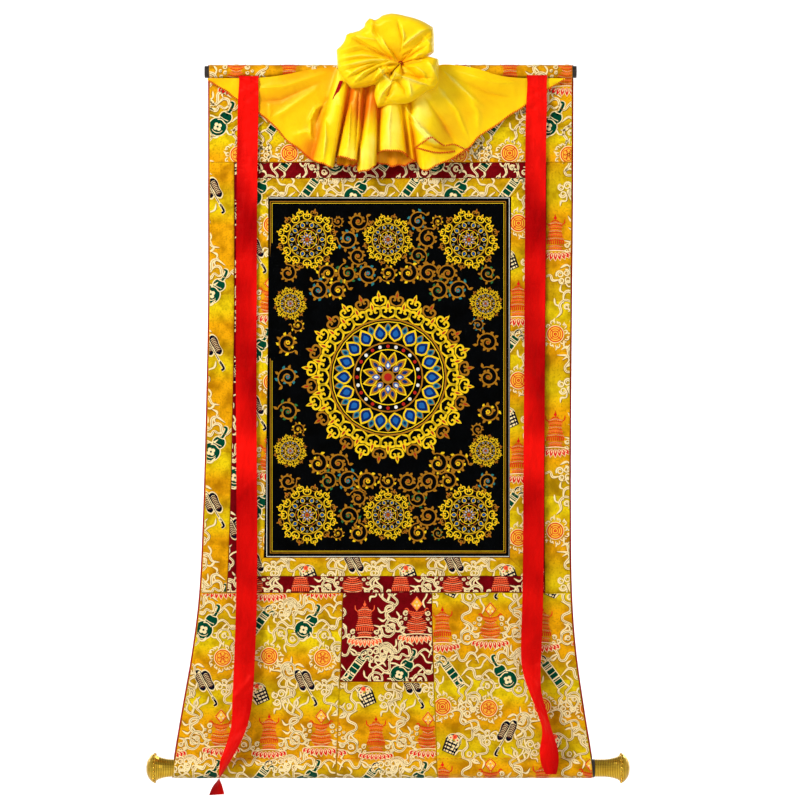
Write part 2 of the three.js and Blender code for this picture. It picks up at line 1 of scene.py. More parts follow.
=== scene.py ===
"""Dresses the hanging scroll: brocades, painted cloth, silk veil, satin ribbons and brass knobs.

The sizes are those of the solids, in millimetres until a mesh is made. x runs across the scroll,
drop runs down it from the top rod, and lift stands out from a cloth towards the viewer.
"""

import math

import bmesh
import bpy
import numpy as np
from bpy.props import FloatProperty, FloatVectorProperty, PointerProperty
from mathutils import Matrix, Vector
from mathutils.geometry import tessellate_polygon


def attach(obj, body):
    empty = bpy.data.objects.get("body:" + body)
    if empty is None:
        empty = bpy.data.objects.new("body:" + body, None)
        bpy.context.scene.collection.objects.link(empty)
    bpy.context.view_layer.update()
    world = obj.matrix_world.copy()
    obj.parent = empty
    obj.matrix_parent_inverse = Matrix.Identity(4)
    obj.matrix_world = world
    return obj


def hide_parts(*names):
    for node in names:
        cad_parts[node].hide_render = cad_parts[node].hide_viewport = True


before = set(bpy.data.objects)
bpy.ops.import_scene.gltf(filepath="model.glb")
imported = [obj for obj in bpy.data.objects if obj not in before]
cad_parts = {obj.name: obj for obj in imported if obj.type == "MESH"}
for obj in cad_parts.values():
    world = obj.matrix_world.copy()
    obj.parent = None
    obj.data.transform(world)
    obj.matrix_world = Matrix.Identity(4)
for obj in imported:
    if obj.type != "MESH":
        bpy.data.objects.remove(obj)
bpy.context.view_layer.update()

bl_info = {
    "name": "Hanging scroll",
    "version": (1, 0, 0),
    "blender": (4, 5, 0),
    "location": "View3D > Sidebar > Scroll",
    "description": "Builds the cloths, figures, veil and stage of a hanging scroll",
    "category": "Object",
}

MM = 0.001

# The scroll's flat layout in millimetres, as in the solids
GAP = 0.3
BROCADE = 1.2
LINING = 0.9
ROD_RADIUS = 7.5
ROLLER_RADIUS = 11
ROLLER_DROP = 870
HALF_WIDTH = 230
PANEL_SIDE = 228.2
STRIP_SIDE = 196.5
BORDER_SIDE = 176
PICTURE_SIDE = 153
DOOR_SIDE = 55
HEADING_SEAM = 113
BORDER_TOP = 133
PICTURE_TOP = 156
PICTURE_BOTTOM = 607
BORDER_BOTTOM = 630
SKIRT_SEAM = 651
DOOR_BOTTOM = 762

# The outline: drop, left edge, right edge
SIDE_EDGES = np.array([
    (-10, 225, 232), (150, 225, 231.5), (300, 225, 230), (425, 227.5, 229), (550, 231, 228.8),
    (651, 236, 230), (721, 244.5, 235), (796, 257.5, 245.5), (858, 268, 255.5), (884, 270.5, 258),
], dtype=float)

# The brocade's figures repeat in two columns: kind, x and drop within one repeat
REPEAT = (125, 196.5)
FIGURES = [
    ("gourd", 0, 0), ("wheel", 20, 41), ("fan", -3, 73), ("vase", 18, 133),
    ("tube", 66, -3), ("roundel", 78, 39), ("basket", 67, 88), ("parasol", 78, 137),
]

# Clouds that fill the ground between the figures: kind, x, drop, turn in degrees, flipped
CLOUDS = [
    ("puff", -17, -19, 20, 0), ("trail", 14, -22, -10, 0), ("trail", 33, -2, 8, 1),
    ("curl", 22, 14, 30, 0), ("curl", -18, 17, 200, 1), ("trail", 42, 22, 70, 0),
    ("puff", 88, -17, -30, 1), ("trail", 103, -4, 30, 0), ("curl", 92, 12, 10, 0),
    ("puff", 48, 42, 90, 0), ("trail", 50, 54, 35, 1), ("curl", 38, 30, -40, 1),
    ("curl", -23, 56, 0, 0), ("puff", 22, 76, 180, 1), ("trail", 28, 92, -70, 0),
    ("trail", -22, 84, 80, 1), ("trail", 96, 72, -60, 0), ("puff", 92, 92, 60, 0),
    ("curl", 104, 58, 120, 1), ("trail", 45, 74, -20, 0), ("curl", 44, 98, 220, 0),
    ("trail", -13, 112, 75, 0), ("trail", 47, 124, 85, 1), ("curl", 46, 150, -60, 0),
    ("curl", -12, 142, 30, 1), ("trail", 108, 118, 100, 0), ("curl", 107, 146, 200, 1),
    ("trail", 52, 172, 10, 0), ("trail", -8, 168, 20, 1), ("curl", 104, 172, 0, 1),
]

# Where a cloth's repeat starts (x and drop of a gourd) and how far it is spread (across, down).
# The right skirt's cloth lies the other way round, so it is spread by less than nothing across
LAYOUTS = {
    "heading": (-208.8, 62.5, 1.1, 1),
    "side_left": (-217, 272, 1, 1),
    "side_right": (131, 279, 1, 1.25),
    "border": (-165, 150, 1, 1),
    "strip": (-187, 108, 1, 1),
    "skirt_left": (-226.5, 691, 1, 1),
    "skirt_right": (146, 754, -1, 1),
    "door": (18, 747, 1, 1),
    "under_door": (-93, 694, 1, 1),
}

# How far the figures stay off a seam
SEAM_MARGIN = 0.9

# How far a figure reaches from its middle, and the margin in which the repeat is searched for figures
FIGURE_REACH = 34
FIELD_MARGIN = 40

# Levels of the woven and the painted shapes over their cloth
WEFT_LEVELS = (0.22, 0.3, 0.38, 0.46)
PAINT_LEVELS = (0.05, 0.1, 0.15, 0.2)

# The red cloth is woven with paler threads where they would vanish in its ground
ON_RED = {"red": "coral", "umber": "brown"}

# Pins of the veil's folds: x, drop and out at the neck, then at the hem
VEIL_FOLDS = np.array([
    (-225, 8.5, 5, -225, 11.5, 5), (-207, 8.5, 6, -207, 22, 4.2), (-190, 8.5, 6.2, -190, 34, 4.5),
    (-158, 8, 7.5, -162, 52, 5), (-129, 5, 11.5, -145, 66, 6), (-104, 0, 13, -128, 85, 7),
    (-82, -3, 14, -110, 99, 8), (-66, -4, 15, -97, 110, 8), (-61, 2, 18, -90, 114, 20),
    (-56, 8, 20, -80, 118, 26), (-51, 12, 20, -70, 122, 25), (-47, 16, 15, -67, 119, 11),
    (-44, 17, 15, -65, 110, 11), (-41, 18, 19, -61, 108, 22), (-36, 18, 22, -51, 111, 26),
    (-31, 18, 20, -41, 113, 24), (-28, 18, 15, -38, 113, 11), (-25, 18, 15, -38, 124, 12),
    (-22, 18, 20, -34, 127, 24), (-18, 18, 22, -26, 126, 27), (-14, 18, 20, -17, 121, 24),
    (-11, 18, 15, -14, 114, 12), (-8, 19, 15, -13, 105, 12), (-4, 20, 19, -8, 102, 21),
    (4, 20, 22, 6, 101, 26), (12, 20, 19, 20, 104, 23), (16, 20, 15, 25, 108, 11),
    (20, 20, 18, 31, 112, 15), (24, 18, 15, 36, 114, 10), (29, 17, 19, 41, 123, 22),
    (36, 14, 22, 47, 126, 27), (46, 8, 20, 62, 119, 25), (55, 0, 17, 80, 110, 17),
    (65, -7, 14, 100, 97, 10), (84, -7, 13, 113, 83, 8), (109, -3, 12, 136, 67, 6),
    (140, 6, 10.5, 156, 53, 5), (168, 8.5, 7.2, 174, 41, 4.8), (197, 8.5, 6, 200, 22, 4.2),
    (221, 8.5, 5, 221, 10.5, 5),
], dtype=float)

# Creases of the drape: height, half width, then points of x and drop. A valley's height is negative
VEIL_CREASES = [
    (3.2, 3, (-76, 40), (-90, 48), (-97, 62), (-96, 84)),
    (1.6, 2.2, (-147, 42), (-148, 60)), (2, 5, (-115, 80), (-100, 76), (-92, 86)),
    (-2.4, 4, (-74, 34), (-84, 48), (-90, 68)), (3.5, 5, (-78, 60), (-77, 84), (-80, 112)),
    (1.8, 7, (-80, 4), (-130, 20), (-180, 22)), (-1.4, 6, (-84, 14), (-134, 36), (-168, 38)),
    (1.5, 6, (-90, 24), (-128, 50), (-146, 60)), (2.2, 2.4, (-46, 41), (-49, 97)),
    (2.4, 2.6, (-31, 50), (-35, 85), (-32, 116)), (-2.6, 2.6, (-36, 24), (-38, 60), (-40, 100)),
    (2.4, 3, (4, 47), (1, 72), (2, 97)), (-2, 3, (14, 44), (20, 72), (24, 100)),
    (5, 4, (19, 42), (38, 70), (60, 91)), (2.6, 3, (24, 60), (50, 88), (62, 96)),
    (3, 3.5, (67, -2), (90, 20), (116, 44)), (2, 5, (60, 18), (86, 50), (100, 84)),
    (-2.2, 6, (46, 34), (66, 62), (84, 92)), (1.6, 6, (84, 0), (130, 14), (180, 16)),
    (-1.4, 5, (80, 6), (126, 28), (160, 34)), (2, 6, (100, 30), (112, 52), (112, 74)),
    (2.5, 4, (32, 96), (48, 84), (68, 94), (84, 93), (102, 100)), (-3, 5, (44, 93), (64, 98), (82, 98)),
]

# The rosette's rim seen from the front: turn in degrees, reach
ROSETTE_RIM = np.array([
    (5, 48.3), (15, 33.8), (18.4, 43.5), (27, 46.7), (35.5, 51.6), (42, 56), (48, 60.5), (55, 59.8),
    (62.4, 59.3), (72, 59), (82.8, 59.3), (91, 61), (100.2, 63.5), (110.6, 64), (117, 62.5), (120.4, 63.1),
    (124, 68.6), (130, 67.5), (135, 65), (141, 66.5), (147, 72), (152, 76), (157, 74.8), (161, 75.5),
    (164.5, 77.5), (168, 81), (173, 79.4), (178, 78.5), (183, 78), (188, 77.2), (193, 74.5), (199, 71.4),
    (203, 69.5), (207, 67.2), (212, 55), (216, 45.6), (220, 40.5), (231, 52), (242, 61), (252, 54),
    (262, 51), (270, 50.5), (279, 50.5), (291, 49), (304, 48), (315, 48.5), (324, 53), (333, 53),
    (342, 49.5), (352, 48), (365, 48.3),
])

# The heart of the rosette: x, z and how far it stands out
KNOT = (15.6, 7, 20)

# Creases of the rosette: height, half width, then points of x and z
ROSETTE_CREASES = [
    (5, 3.2, (18, 26), (29, 35), (41, 44), (50, 48)), (3.5, 3, (18, 49), (20, 38), (18, 26)),
    (-3, 3.5, (16, 21), (18, 34), (14, 49), (12, 59)), (3.2, 2.6, (-7, 38), (-4, 30), (2, 21), (7, 13)),
    (2.6, 2.6, (-12, 34), (-6, 25), (1, 16)), (-2.6, 3, (-16, 38), (-8, 25), (4, 12)),
    (2.2, 4, (-20, 57), (-21, 45), (-16, 38)), (-2.2, 4, (-16, 59), (-16, 49), (-12, 40)),
    (2.4, 3, (-45, 42), (-32, 38), (-12, 35)), (-3, 2.4, (-48, 40), (-32, 30), (-14, 20), (5, 12)),
    (3, 2.6, (-58, 21), (-37, 27), (-20, 25)), (-2.6, 3, (-57, 16), (-32, 22), (-6, 16)),
    (3.2, 2.8, (-61, 11), (-32, 15), (-6, 12)), (-2.8, 3, (-62, 6), (-37, 11), (-12, 12)),
    (4.2, 2.8, (-63, 1), (-44, 4), (-20, 9), (0, 10), (14, 7)), (-3, 3, (-59, -5), (-37, 1), (-12, 8)),
    (3.6, 2.8, (-53, -13), (-35, -1), (-12, 7)), (-3, 2.8, (-48, -13), (-32, -4), (-10, 6)),
    (3.4, 2.8, (-44, -20), (-29, -6), (-6, 5)), (-3, 2.6, (-35, -16), (-20, -5), (-5, 4)),
    (3, 2.4, (-20, -18), (-12, -9), (-2, 1)), (5, 2.6, (-7, 3), (2, 7), (15, 6)),
    (5.5, 2.4, (-12, 1), (-8, -5), (-2, -11), (4, -17)), (4.5, 2.4, (4, -17), (8, -10), (9, 0)),
    (-4, 2.6, (0, 0), (5, -7), (5, -10)), (6, 2.8, (10, -8), (25, -14), (39, -19), (60, -24)),
    (-3.5, 4, (20, -6), (38, -12), (56, -14)), (3, 3.4, (18, 2), (35, 0), (44, -7), (48, -16)),
    (-2.6, 4, (19, 5), (34, 7), (44, 9)), (3.6, 3, (50, 8), (59, -8), (63, -16)),
    (3.6, 5, (26, -16), (28, -27), (29, -37)), (-3.6, 4, (11, -14), (21, -27), (23, -36)),
    (4, 2.6, (10, -14), (1, -22), (-6, -30), (-15, -45)), (-2.4, 3, (5, -27), (-2, -36), (-4, -45)),
    (2.8, 2.8, (-6, -30), (0, -37), (12, -43)), (3, 3, (30, 9), (37, 15), (44, 17)),
    (-3.4, 3, (21, 11), (34, 19), (46, 25)), (2.8, 3.4, (42, 42), (50, 33), (56, 25)),
    (2.4, 3, (19, 19), (34, 25), (55, 37)), (-2.2, 3, (20, 17), (41, 30), (56, 42)),
]

# Puffs of the rosette: start and end turn, reach share, crest out, base out
PUFFS = [
    (30, 132, 1.0, 44, 10), (108, 172, 0.99, 37, 10), (148, 217, 1.0, 45, 18), (6, 50, 1.0, 46, 16),
    (202, 268, 1.0, 35, 8), (246, 338, 0.99, 43, 16), (316, 374, 0.99, 49, 22), (190, 228, 0.48, 41, 26),
    (232, 282, 0.42, 46, 26),
]

# The ribbons: drop, x, out, width, turn in degrees
RIBBONS = {
    "left": np.array([
        (6, -173.5, 9.4, 25, 0), (14, -173.5, 10.4, 24, 5), (26, -173.8, 10.6, 25, -3),
        (44, -174.3, 9.2, 26, 0), (70, -175, 6, 26, 0), (140, -176, 6, 26, 4), (210, -176.5, 5.2, 26, 0),
        (300, -176.8, 6.6, 26, -5), (400, -177, 6, 26, 2), (490, -176.4, 7.6, 26, 6), (580, -176, 7, 26, -2),
        (660, -176.4, 9.5, 26, 0), (730, -178.5, 12, 26, 4), (780, -181, 14.5, 26, 14),
        (810, -184, 17, 26, 35), (834, -191, 19.5, 26, 48), (858, -202, 20.5, 26, 60),
        (872, -207, 20, 26, 76), (880, -210, 19.5, 26, 90), (890, -212, 18.5, 26, 116),
        (902, -213, 17, 26, 138),
    ]),
    "right": np.array([
        (5, 185.8, 9, 26, 0), (14, 185.8, 9.8, 24.5, -5), (26, 185.6, 9.4, 25, 3),
        (44, 185.2, 8.5, 26, 0), (70, 184.6, 6, 26, 0), (140, 184, 5.6, 26, -3), (210, 183.7, 6.2, 26, 3),
        (300, 183.2, 5.6, 26, -4), (400, 182.6, 7, 26, 2), (490, 182, 6.2, 26, -5), (580, 181.4, 8.4, 26, 4),
        (660, 180.4, 9, 26, 0), (715, 178.6, 11, 26, 8), (745, 178.6, 14.5, 26, 30),
        (772, 183, 18, 26, 54), (798, 191.5, 20, 25, 62), (822, 198, 20, 25, 60),
        (846, 200, 21, 26, 30), (862, 201, 21, 22, 12), (877, 203, 19, 12, 5),
    ]),
}

# Folds across a ribbon: drop, slant in mm across the width, height, half width in mm
RIBBON_FOLDS = [
    (11, 3, 1.4, 2), (17, -6, -1.2, 2), (24, 8, 1.3, 2.5), (33, -10, -1, 3), (44, 12, 0.9, 3),
    (58, -8, -0.7, 3), (372, 14, 0.9, 5), (384, 16, -0.9, 6), (520, -12, 0.9, 5), (640, 10, 1, 6),
    (700, -14, 1, 6), (744, 12, -1.2, 5), (768, -16, 1.3, 5), (790, 14, 1.2, 5), (824, -12, -1.2, 6),
]


def spline(at, xs, ys):
    """A cubic through the rows, with finite-difference slopes."""
    i = np.clip(np.searchsorted(xs, at, side="right") - 1, 0, len(xs) - 2)
    before, after = np.maximum(i - 1, 0), np.minimum(i + 2, len(xs) - 1)
    span = xs[i + 1] - xs[i]
    slope_a = (ys[i + 1] - ys[before]) / (xs[i + 1] - xs[before])
    slope_b = (ys[after] - ys[i]) / (xs[after] - xs[i])
    t = np.clip((at - xs[i]) / span, 0, 1)
    u = 1 - t
    return (u * u * (1 + 2 * t) * ys[i] + t * t * (3 - 2 * t) * ys[i + 1]
            + span * t * u * (u * slope_a - t * slope_b))


# The outline's smooth curve at every half millimetre
EDGE_DROPS = np.arange(-20, 900, 0.5)
EDGE_LEFT, EDGE_RIGHT = (spline(EDGE_DROPS, SIDE_EDGES[:, 0], SIDE_EDGES[:, k]) for k in (1, 2))


def flare(x, drop):
    """How much wider the scroll hangs than its nominal width at this level."""
    left = np.interp(drop, EDGE_DROPS, EDGE_LEFT)
    right = np.interp(drop, EDGE_DROPS, EDGE_RIGHT)
    return np.where(x < 0, left, right) / HALF_WIDTH


def smoothstep(value, start, end):
    """From 0 at start to 1 at end, without a corner at either."""
    t = np.clip((value - start) / (end - start), 0, 1)
    return t * t * (3 - 2 * t)


def wave(x, drop):
    """The hanging cloth's soft waves in depth, as in the solids."""
    body = smoothstep(drop, 130, 330) * (1 - smoothstep(drop, 640, 850))
    skirt = smoothstep(drop, 600, 700) * (1 - smoothstep(drop, 760, 852))
    return (1.6 * body * np.sin(x / 88 + 0.7) + 2.2 * skirt * np.sin(x / 52 - drop / 95)
            - 2 * body * smoothstep(np.abs(x), 190, 235))


def crease_end(radius):
    """How far from a rod's middle the cloth lies flat again."""
    return radius * 1.35 + 4


FLAT_START = crease_end(ROD_RADIUS)
FLAT_STOP = ROLLER_DROP - crease_end(ROLLER_RADIUS)


class Layer:
    """One of the scroll's two layers: the front lies before the middle plane, the lining behind."""

    def __init__(self, side, thickness):
        self.side = side
        self.thickness = thickness
        self.flat_out = GAP / 2 + thickness / 2
        self.top_sleeve = self.sleeve(ROD_RADIUS)
        self.low_sleeve = self.sleeve(ROLLER_RADIUS)
        self.top = FLAT_START - self.top_sleeve[0][-1]
        self.bottom = FLAT_STOP + self.low_sleeve[0][-1]

    def sleeve(self, radius):
        """Run along the cloth, out and back distances, and the direction that faces out."""
        r = radius + GAP + self.thickness / 2
        # The cloth leaves the rod at 30 degrees and goes round it to the middle of its back
        leaves = math.radians(30)
        start = r * np.array([math.sin(leaves), math.cos(leaves)])
        heading = np.array([math.cos(leaves), -math.sin(leaves)])
        flat = np.array([self.flat_out, crease_end(radius)])
        handles = [flat, flat - (0, 0.4 * r), start - 0.4 * r * heading, start]
        t = np.linspace(0, 1, 60)[:, None]
        bend = sum(k * (1 - t) ** (3 - i) * t ** i * handles[i] for i, k in enumerate((1, 3, 3, 1)))
        angles = np.linspace(math.pi / 2 - leaves, 0.2 / r - math.pi / 2, 160)[1:]
        arc = r * np.stack([np.cos(angles), np.sin(angles)], 1)
        path = np.vstack([bend, arc])
        run = np.concatenate([[0], np.cumsum(np.linalg.norm(np.diff(path, axis=0), axis=1))])
        tangent = np.gradient(path, axis=0)
        tangent /= np.linalg.norm(tangent, axis=1)[:, None]
        return run, path[:, 0], path[:, 1], -tangent[:, 1], tangent[:, 0]

    def place(self, x, down, lift):
        """Points in space, in millimetres, for cloth coordinates given as arrays."""
        x, down, lift = np.broadcast_arrays(*(np.asarray(v, float) for v in (x, down, lift)))
        out = self.flat_out + lift
        drop = down.copy()
        ends = [
            (down < FLAT_START, FLAT_START - down, self.top_sleeve, 1, 0),
            (down > FLAT_STOP, down - FLAT_STOP, self.low_sleeve, -1, ROLLER_DROP),
        ]
        for here, run, (runs, us, vs, nus, nvs), sign, level in ends:
            u, v, nu, nv = (np.interp(run, runs, column) for column in (us, vs, nus, nvs))
            out = np.where(here, u + nu * lift, out)
            drop = np.where(here, level + sign * (v + nv * lift), drop)
        y = self.side * out + wave(x, drop)
        return np.stack([x * flare(x, drop), y, -drop], -1)


FRONT = Layer(-1, BROCADE)
BACK = Layer(1, LINING)

# The front's cloths: name, node, cloth, layout, left, right, top, bottom
PANELS = [
    ("heading_cloth", "heading_panel", "yellow", "heading",
     -PANEL_SIDE, PANEL_SIDE, FRONT.top, HEADING_SEAM),
    ("side_cloth_left", "side_panel_left", "yellow", "side_left",
     -PANEL_SIDE, -STRIP_SIDE, HEADING_SEAM, SKIRT_SEAM),
    ("side_cloth_right", "side_panel_right", "yellow", "side_right",
     STRIP_SIDE, PANEL_SIDE, HEADING_SEAM, SKIRT_SEAM),
    ("red_cloth_top", "red_strip_top", "red", "strip",
     -STRIP_SIDE, STRIP_SIDE, HEADING_SEAM, BORDER_TOP),
    ("red_cloth_bottom", "red_strip_bottom", "red", "strip",
     -STRIP_SIDE, STRIP_SIDE, BORDER_BOTTOM, SKIRT_SEAM),
    ("red_cloth_left", "red_strip_left", "red", "strip",
     -STRIP_SIDE, -BORDER_SIDE, BORDER_TOP, BORDER_BOTTOM),
    ("red_cloth_right", "red_strip_right", "red", "strip",
     BORDER_SIDE, STRIP_SIDE, BORDER_TOP, BORDER_BOTTOM),
    ("skirt_cloth_left", "skirt_panel_left", "yellow", "skirt_left",
     -PANEL_SIDE, -DOOR_SIDE, SKIRT_SEAM, FRONT.bottom),
    ("skirt_cloth_right", "skirt_panel_right", "yellow", "skirt_right",
     DOOR_SIDE, PANEL_SIDE, SKIRT_SEAM, FRONT.bottom),
    ("door_cloth", "door_panel", "red", "door",
     -DOOR_SIDE, DOOR_SIDE, SKIRT_SEAM, DOOR_BOTTOM),
    ("under_door_cloth", "skirt_panel_middle", "yellow", "under_door",
     -DOOR_SIDE, DOOR_SIDE, DOOR_BOTTOM, FRONT.bottom),
]


# Colours and materials. A noise's scale counts its hollows in a metre of cloth

# A wave texture repeats every 0.314 over its scale
WAVE = 0.314

# What the painted shade of the blotches and the darker flecks leave of a cloth's colour
SHADE_AND_FLECK_TONE = (0.46, 0.36, 0.2, 1)

# Threads and paints: sRGB
THREADS = {
    "cream": "#FBE2A8", "umber": "#8A5E06", "honey": "#F6B936", "green": "#02402A", "navy": "#08081C",
    "red": "#E02018", "coral": "#FF6236", "brown": "#5A3020",
}
PAINTS = {
    "ochre": "#A8701A", "yellow": "#F2C81C", "blue": "#1F5FA8", "deep_blue": "#0C2A66",
    "white": "#E8E4D8", "leaf": "#2E6B3A", "paint_red": "#B0241C", "teal": "#2A7A80",
}

# The materials that are made so far, by name
FINISHES = {}


def colour(code):
    """An sRGB hex value as a linear colour."""
    channels = [int(code[i:i + 2], 16) / 255 for i in (1, 3, 5)]
    return tuple(c / 12.92 if c <= 0.04045 else ((c + 0.055) / 1.055) ** 2.4 for c in channels) + (1,)


def add(tree, kind, inputs=None, outputs=None, **settings):
    """Adds a node, with its settings, its sockets' values or links, and where its outputs go."""
    node = tree.nodes.new(kind)
    for key, value in settings.items():
        setattr(node, key, value)
    for key, value in (inputs or {}).items():
        socket = node.inputs[key]
        if isinstance(value, bpy.types.NodeSocket):
            tree.links.new(value, socket)
        else:
            socket.default_value = value
    for key, target in (outputs or {}).items():
        tree.links.new(node.outputs[key], target)
    return node


def surface(name, settings):
    """A new material and its shader, with the shader's own constant values set."""
    material = bpy.data.materials.new(name)
    material.use_nodes = True
    tree = material.node_tree
    tree.nodes.clear()
    shader = add(tree, "ShaderNodeBsdfPrincipled", settings)
    add(tree, "ShaderNodeOutputMaterial", {"Surface": shader.outputs[0]})
    return material, tree, shader


def lay_stops(band, rows):
    """Fills a colour band with rows of place and colour."""
    for i, (at, tone) in enumerate(rows):
        stop = band.elements[i] if i < 2 else band.elements.new(at)
        stop.position = at
        stop.color = tone


def slack(tree, uv, across, down, depth, normal=None):
    """A bump for cloth that lies slack between its seams, with hollows of this size."""
    stretched = add(tree, "ShaderNodeMapping", {0: uv, "Scale": (1 / across, 1 / down, 1)}).outputs[0]
    hollows = add(tree, "ShaderNodeTexNoise", {"Vector": stretched, "Scale": 1.0, "Detail": 2.0,
                                               "Roughness": 0.45}).outputs["Fac"]
    inputs = {"Height": hollows, "Strength": 1.0, "Distance": depth}
    if normal:
        inputs["Normal"] = normal
    return add(tree, "ShaderNodeBump", inputs).outputs[0]


def woven(name, tone, pitch=0.0009, direction="X", rough=0.45, sheen=0.1, aniso=0.4, bands=None,
          shade_and_fleck=0.65, gloss=0.5):
    """Woven cloth: fine ribs of thread, a streaked gloss that its dye tints, slack hollows, and painted shade
    in soft blotches.
    """
    material, tree, shader = surface(name, {
        "Base Color": tone, "Roughness": rough, "IOR": 1.5, "Specular IOR Level": gloss,
        "Specular Tint": tone, "Sheen Weight": sheen, "Sheen Roughness": 0.4, "Sheen Tint": tone,
        "Anisotropic": aniso,
    })
    uv = add(tree, "ShaderNodeTexCoord").outputs["UV"]
    base = tone
    if bands:
        # The bands follow the figures' repeat down the cloth, and sway by 12 mm
        down = add(tree, "ShaderNodeSeparateXYZ", {0: uv}).outputs[1]
        sway = add(tree, "ShaderNodeTexNoise", {"Vector": uv, "Scale": 9.0, "Detail": 1.0}).outputs["Fac"]
        level = add(tree, "ShaderNodeMath", {0: sway, 1: 0.012, 2: down}, operation="MULTIPLY_ADD")
        share = add(tree, "ShaderNodeMath", {0: level.outputs[0], 1: -REPEAT[1] * MM}, operation="DIVIDE")
        place = add(tree, "ShaderNodeMath", {0: share.outputs[0]}, operation="FRACT")
        weft = add(tree, "ShaderNodeValToRGB", {"Fac": place.outputs[0]})
        lay_stops(weft.color_ramp, bands)
        base = weft.outputs[0]
    # Painted shade: soft dark blotches of 18 mm stand in for the shade of the slack cloth's folds, and flecks
    # of 2.4 mm are darker at random
    blotch = add(tree, "ShaderNodeTexNoise", {"Vector": uv, "Scale": 55.0, "Detail": 3.0}).outputs["Fac"]
    slack_shade = add(tree, "ShaderNodeMapRange", {"Value": blotch, "From Min": 0.42, "From Max": 0.66,
                                            "To Min": 0.0, "To Max": shade_and_fleck}).outputs[0]
    speckle = add(tree, "ShaderNodeTexNoise", {"Vector": uv, "Scale": 420.0, "Detail": 1.0}).outputs["Fac"]
    fleck = add(tree, "ShaderNodeMapRange", {"Value": speckle, "From Min": 0.5, "From Max": 0.72,
                                             "To Min": 0.0, "To Max": shade_and_fleck * 0.6}).outputs[0]
    dark = add(tree, "ShaderNodeMix", {0: 1.0, 6: base, 7: SHADE_AND_FLECK_TONE}, data_type="RGBA",
               blend_type="MULTIPLY").outputs[2]
    blotched = add(tree, "ShaderNodeMix", {0: slack_shade, 6: base, 7: dark}, data_type="RGBA").outputs[2]
    add(tree, "ShaderNodeMix", {0: fleck, 6: blotched, 7: dark}, {2: shader.inputs["Base Color"]},
        data_type="RGBA")
    # Puckers: the seam's thread draws the cloth in, so hollows of 8 mm crowd towards it
    seam = add(tree, "ShaderNodeAttribute", attribute_name="seam").outputs["Fac"]
    drawn = add(tree, "ShaderNodeTexNoise", {"Vector": uv, "Scale": 125.0, "Detail": 1.0}).outputs["Fac"]
    height = add(tree, "ShaderNodeMath", {0: seam, 1: drawn}, operation="MULTIPLY").outputs[0]
    puckered = add(tree, "ShaderNodeBump", {"Height": height, "Strength": 1.0, "Distance": 0.0028}).outputs[0]
    hung = slack(tree, uv, 0.02, 0.034, 0.002, puckered)
    thread = add(tree, "ShaderNodeTexWave", {"Vector": uv, "Scale": WAVE / pitch, "Distortion": 0.4,
                                             "Detail": 1.0}, bands_direction=direction).outputs["Fac"]
    add(tree, "ShaderNodeBump", {"Height": thread, "Strength": 0.5, "Distance": 0.00012, "Normal": hung},
        {0: shader.inputs["Normal"]})
    return material


def tint(name):
    """The material of one colour of brocade thread or of paint."""
    key = "thread_" + name
    if key not in FINISHES:
        if name in PAINTS:
            # Distemper on sized canvas: dry, matt, with a little grain of the cloth
            made = woven("distemper_" + name, colour(PAINTS[name]), pitch=0.0008, rough=0.75, sheen=0.0,
                         aniso=0.0, shade_and_fleck=0.2, gloss=0.2)
        else:
            # Silk weft floats: they catch the light across the ground's own threads
            made = woven("silk_weft_" + name, colour(THREADS[name]), pitch=0.001, direction="Y", rough=0.5,
                         sheen=0.05, aniso=0.3, shade_and_fleck=0.1)
        FINISHES[key] = made
    return FINISHES[key]


def finish(name):
    """The material of a whole cloth or fitting, made when it is first asked for."""
    if name not in FINISHES:
        FINISHES[name] = MAKERS[name]()
    return FINISHES[name]


def yellow_brocade():
    """Silk and rayon lampas: the weft changes from lime to orange in bands, so the gloss does too."""
    lime, orange, olive = colour("#EACA10"), colour("#EAA20A"), colour("#D0A40C")
    bands = [(0.0, lime), (0.08, lime), (0.18, orange), (0.26, orange), (0.35, olive),
             (0.46, lime), (0.56, orange), (0.82, orange), (0.93, olive)]
    return woven("lampas_yellow", lime, rough=0.42, sheen=0.05, aniso=0.5, bands=bands, shade_and_fleck=0.85)


def red_brocade():
    """The same lampas in dark red, almost black in its hollows."""
    return woven("lampas_red", colour("#74060E"), sheen=0.0, aniso=0.5)


def red_cotton():
    """Plain-woven dyed cotton: matt, with an even thread."""
    return woven("cotton_red", colour("#A01218"), pitch=0.0007, rough=0.85, aniso=0.0, shade_and_fleck=0.25, gloss=0.3)


def black_canvas():
    """Sized canvas painted with black distemper: dry and matt."""
    return woven("distemper_black", colour("#050607"), pitch=0.0008, rough=0.85, sheen=0.0, aniso=0.0,
                 gloss=0.15)


def overlock_thread():
    """Overlock thread of spun polyester: matt and orange red."""
    return woven("overlock_thread", colour("#E0501C"), pitch=0.0006, direction="Y", rough=0.6, aniso=0.0)


def satin():
    """Polyester satin ribbon: long floats give a broad gloss that runs down its length."""
    material, tree, shader = surface("satin_red", {
        "Base Color": colour("#C4060A"), "Roughness": 0.45, "IOR": 1.5,
        "Specular Tint": colour("#FF3A28"), "Anisotropic": 0.6,
    })
    uv = add(tree, "ShaderNodeTexCoord").outputs["UV"]
    # Painted highlight and shade: the base colour swings from dark to bright red in stretches of 140 mm along
    # the ribbon, for its soft glows and shaded bands
    wander = add(tree, "ShaderNodeMapping", {0: uv, "Scale": (9, 7, 1)}).outputs[0]
    painted_glow = add(tree, "ShaderNodeTexNoise", {"Vector": wander, "Scale": 1.0, "Detail": 2.0}).outputs["Fac"]
    share = add(tree, "ShaderNodeMapRange", {"Value": painted_glow, "From Min": 0.4, "From Max": 0.6}).outputs[0]
    add(tree, "ShaderNodeMix", {0: share, 6: colour("#A00004"), 7: colour("#EC100A")},
        {2: shader.inputs["Base Color"]}, data_type="RGBA")
    creased = slack(tree, uv, 0.03, 0.012, 0.0014)
    tree.links.new(slack(tree, uv, 0.02, 0.06, 0.006, creased), shader.inputs["Normal"])
    return material


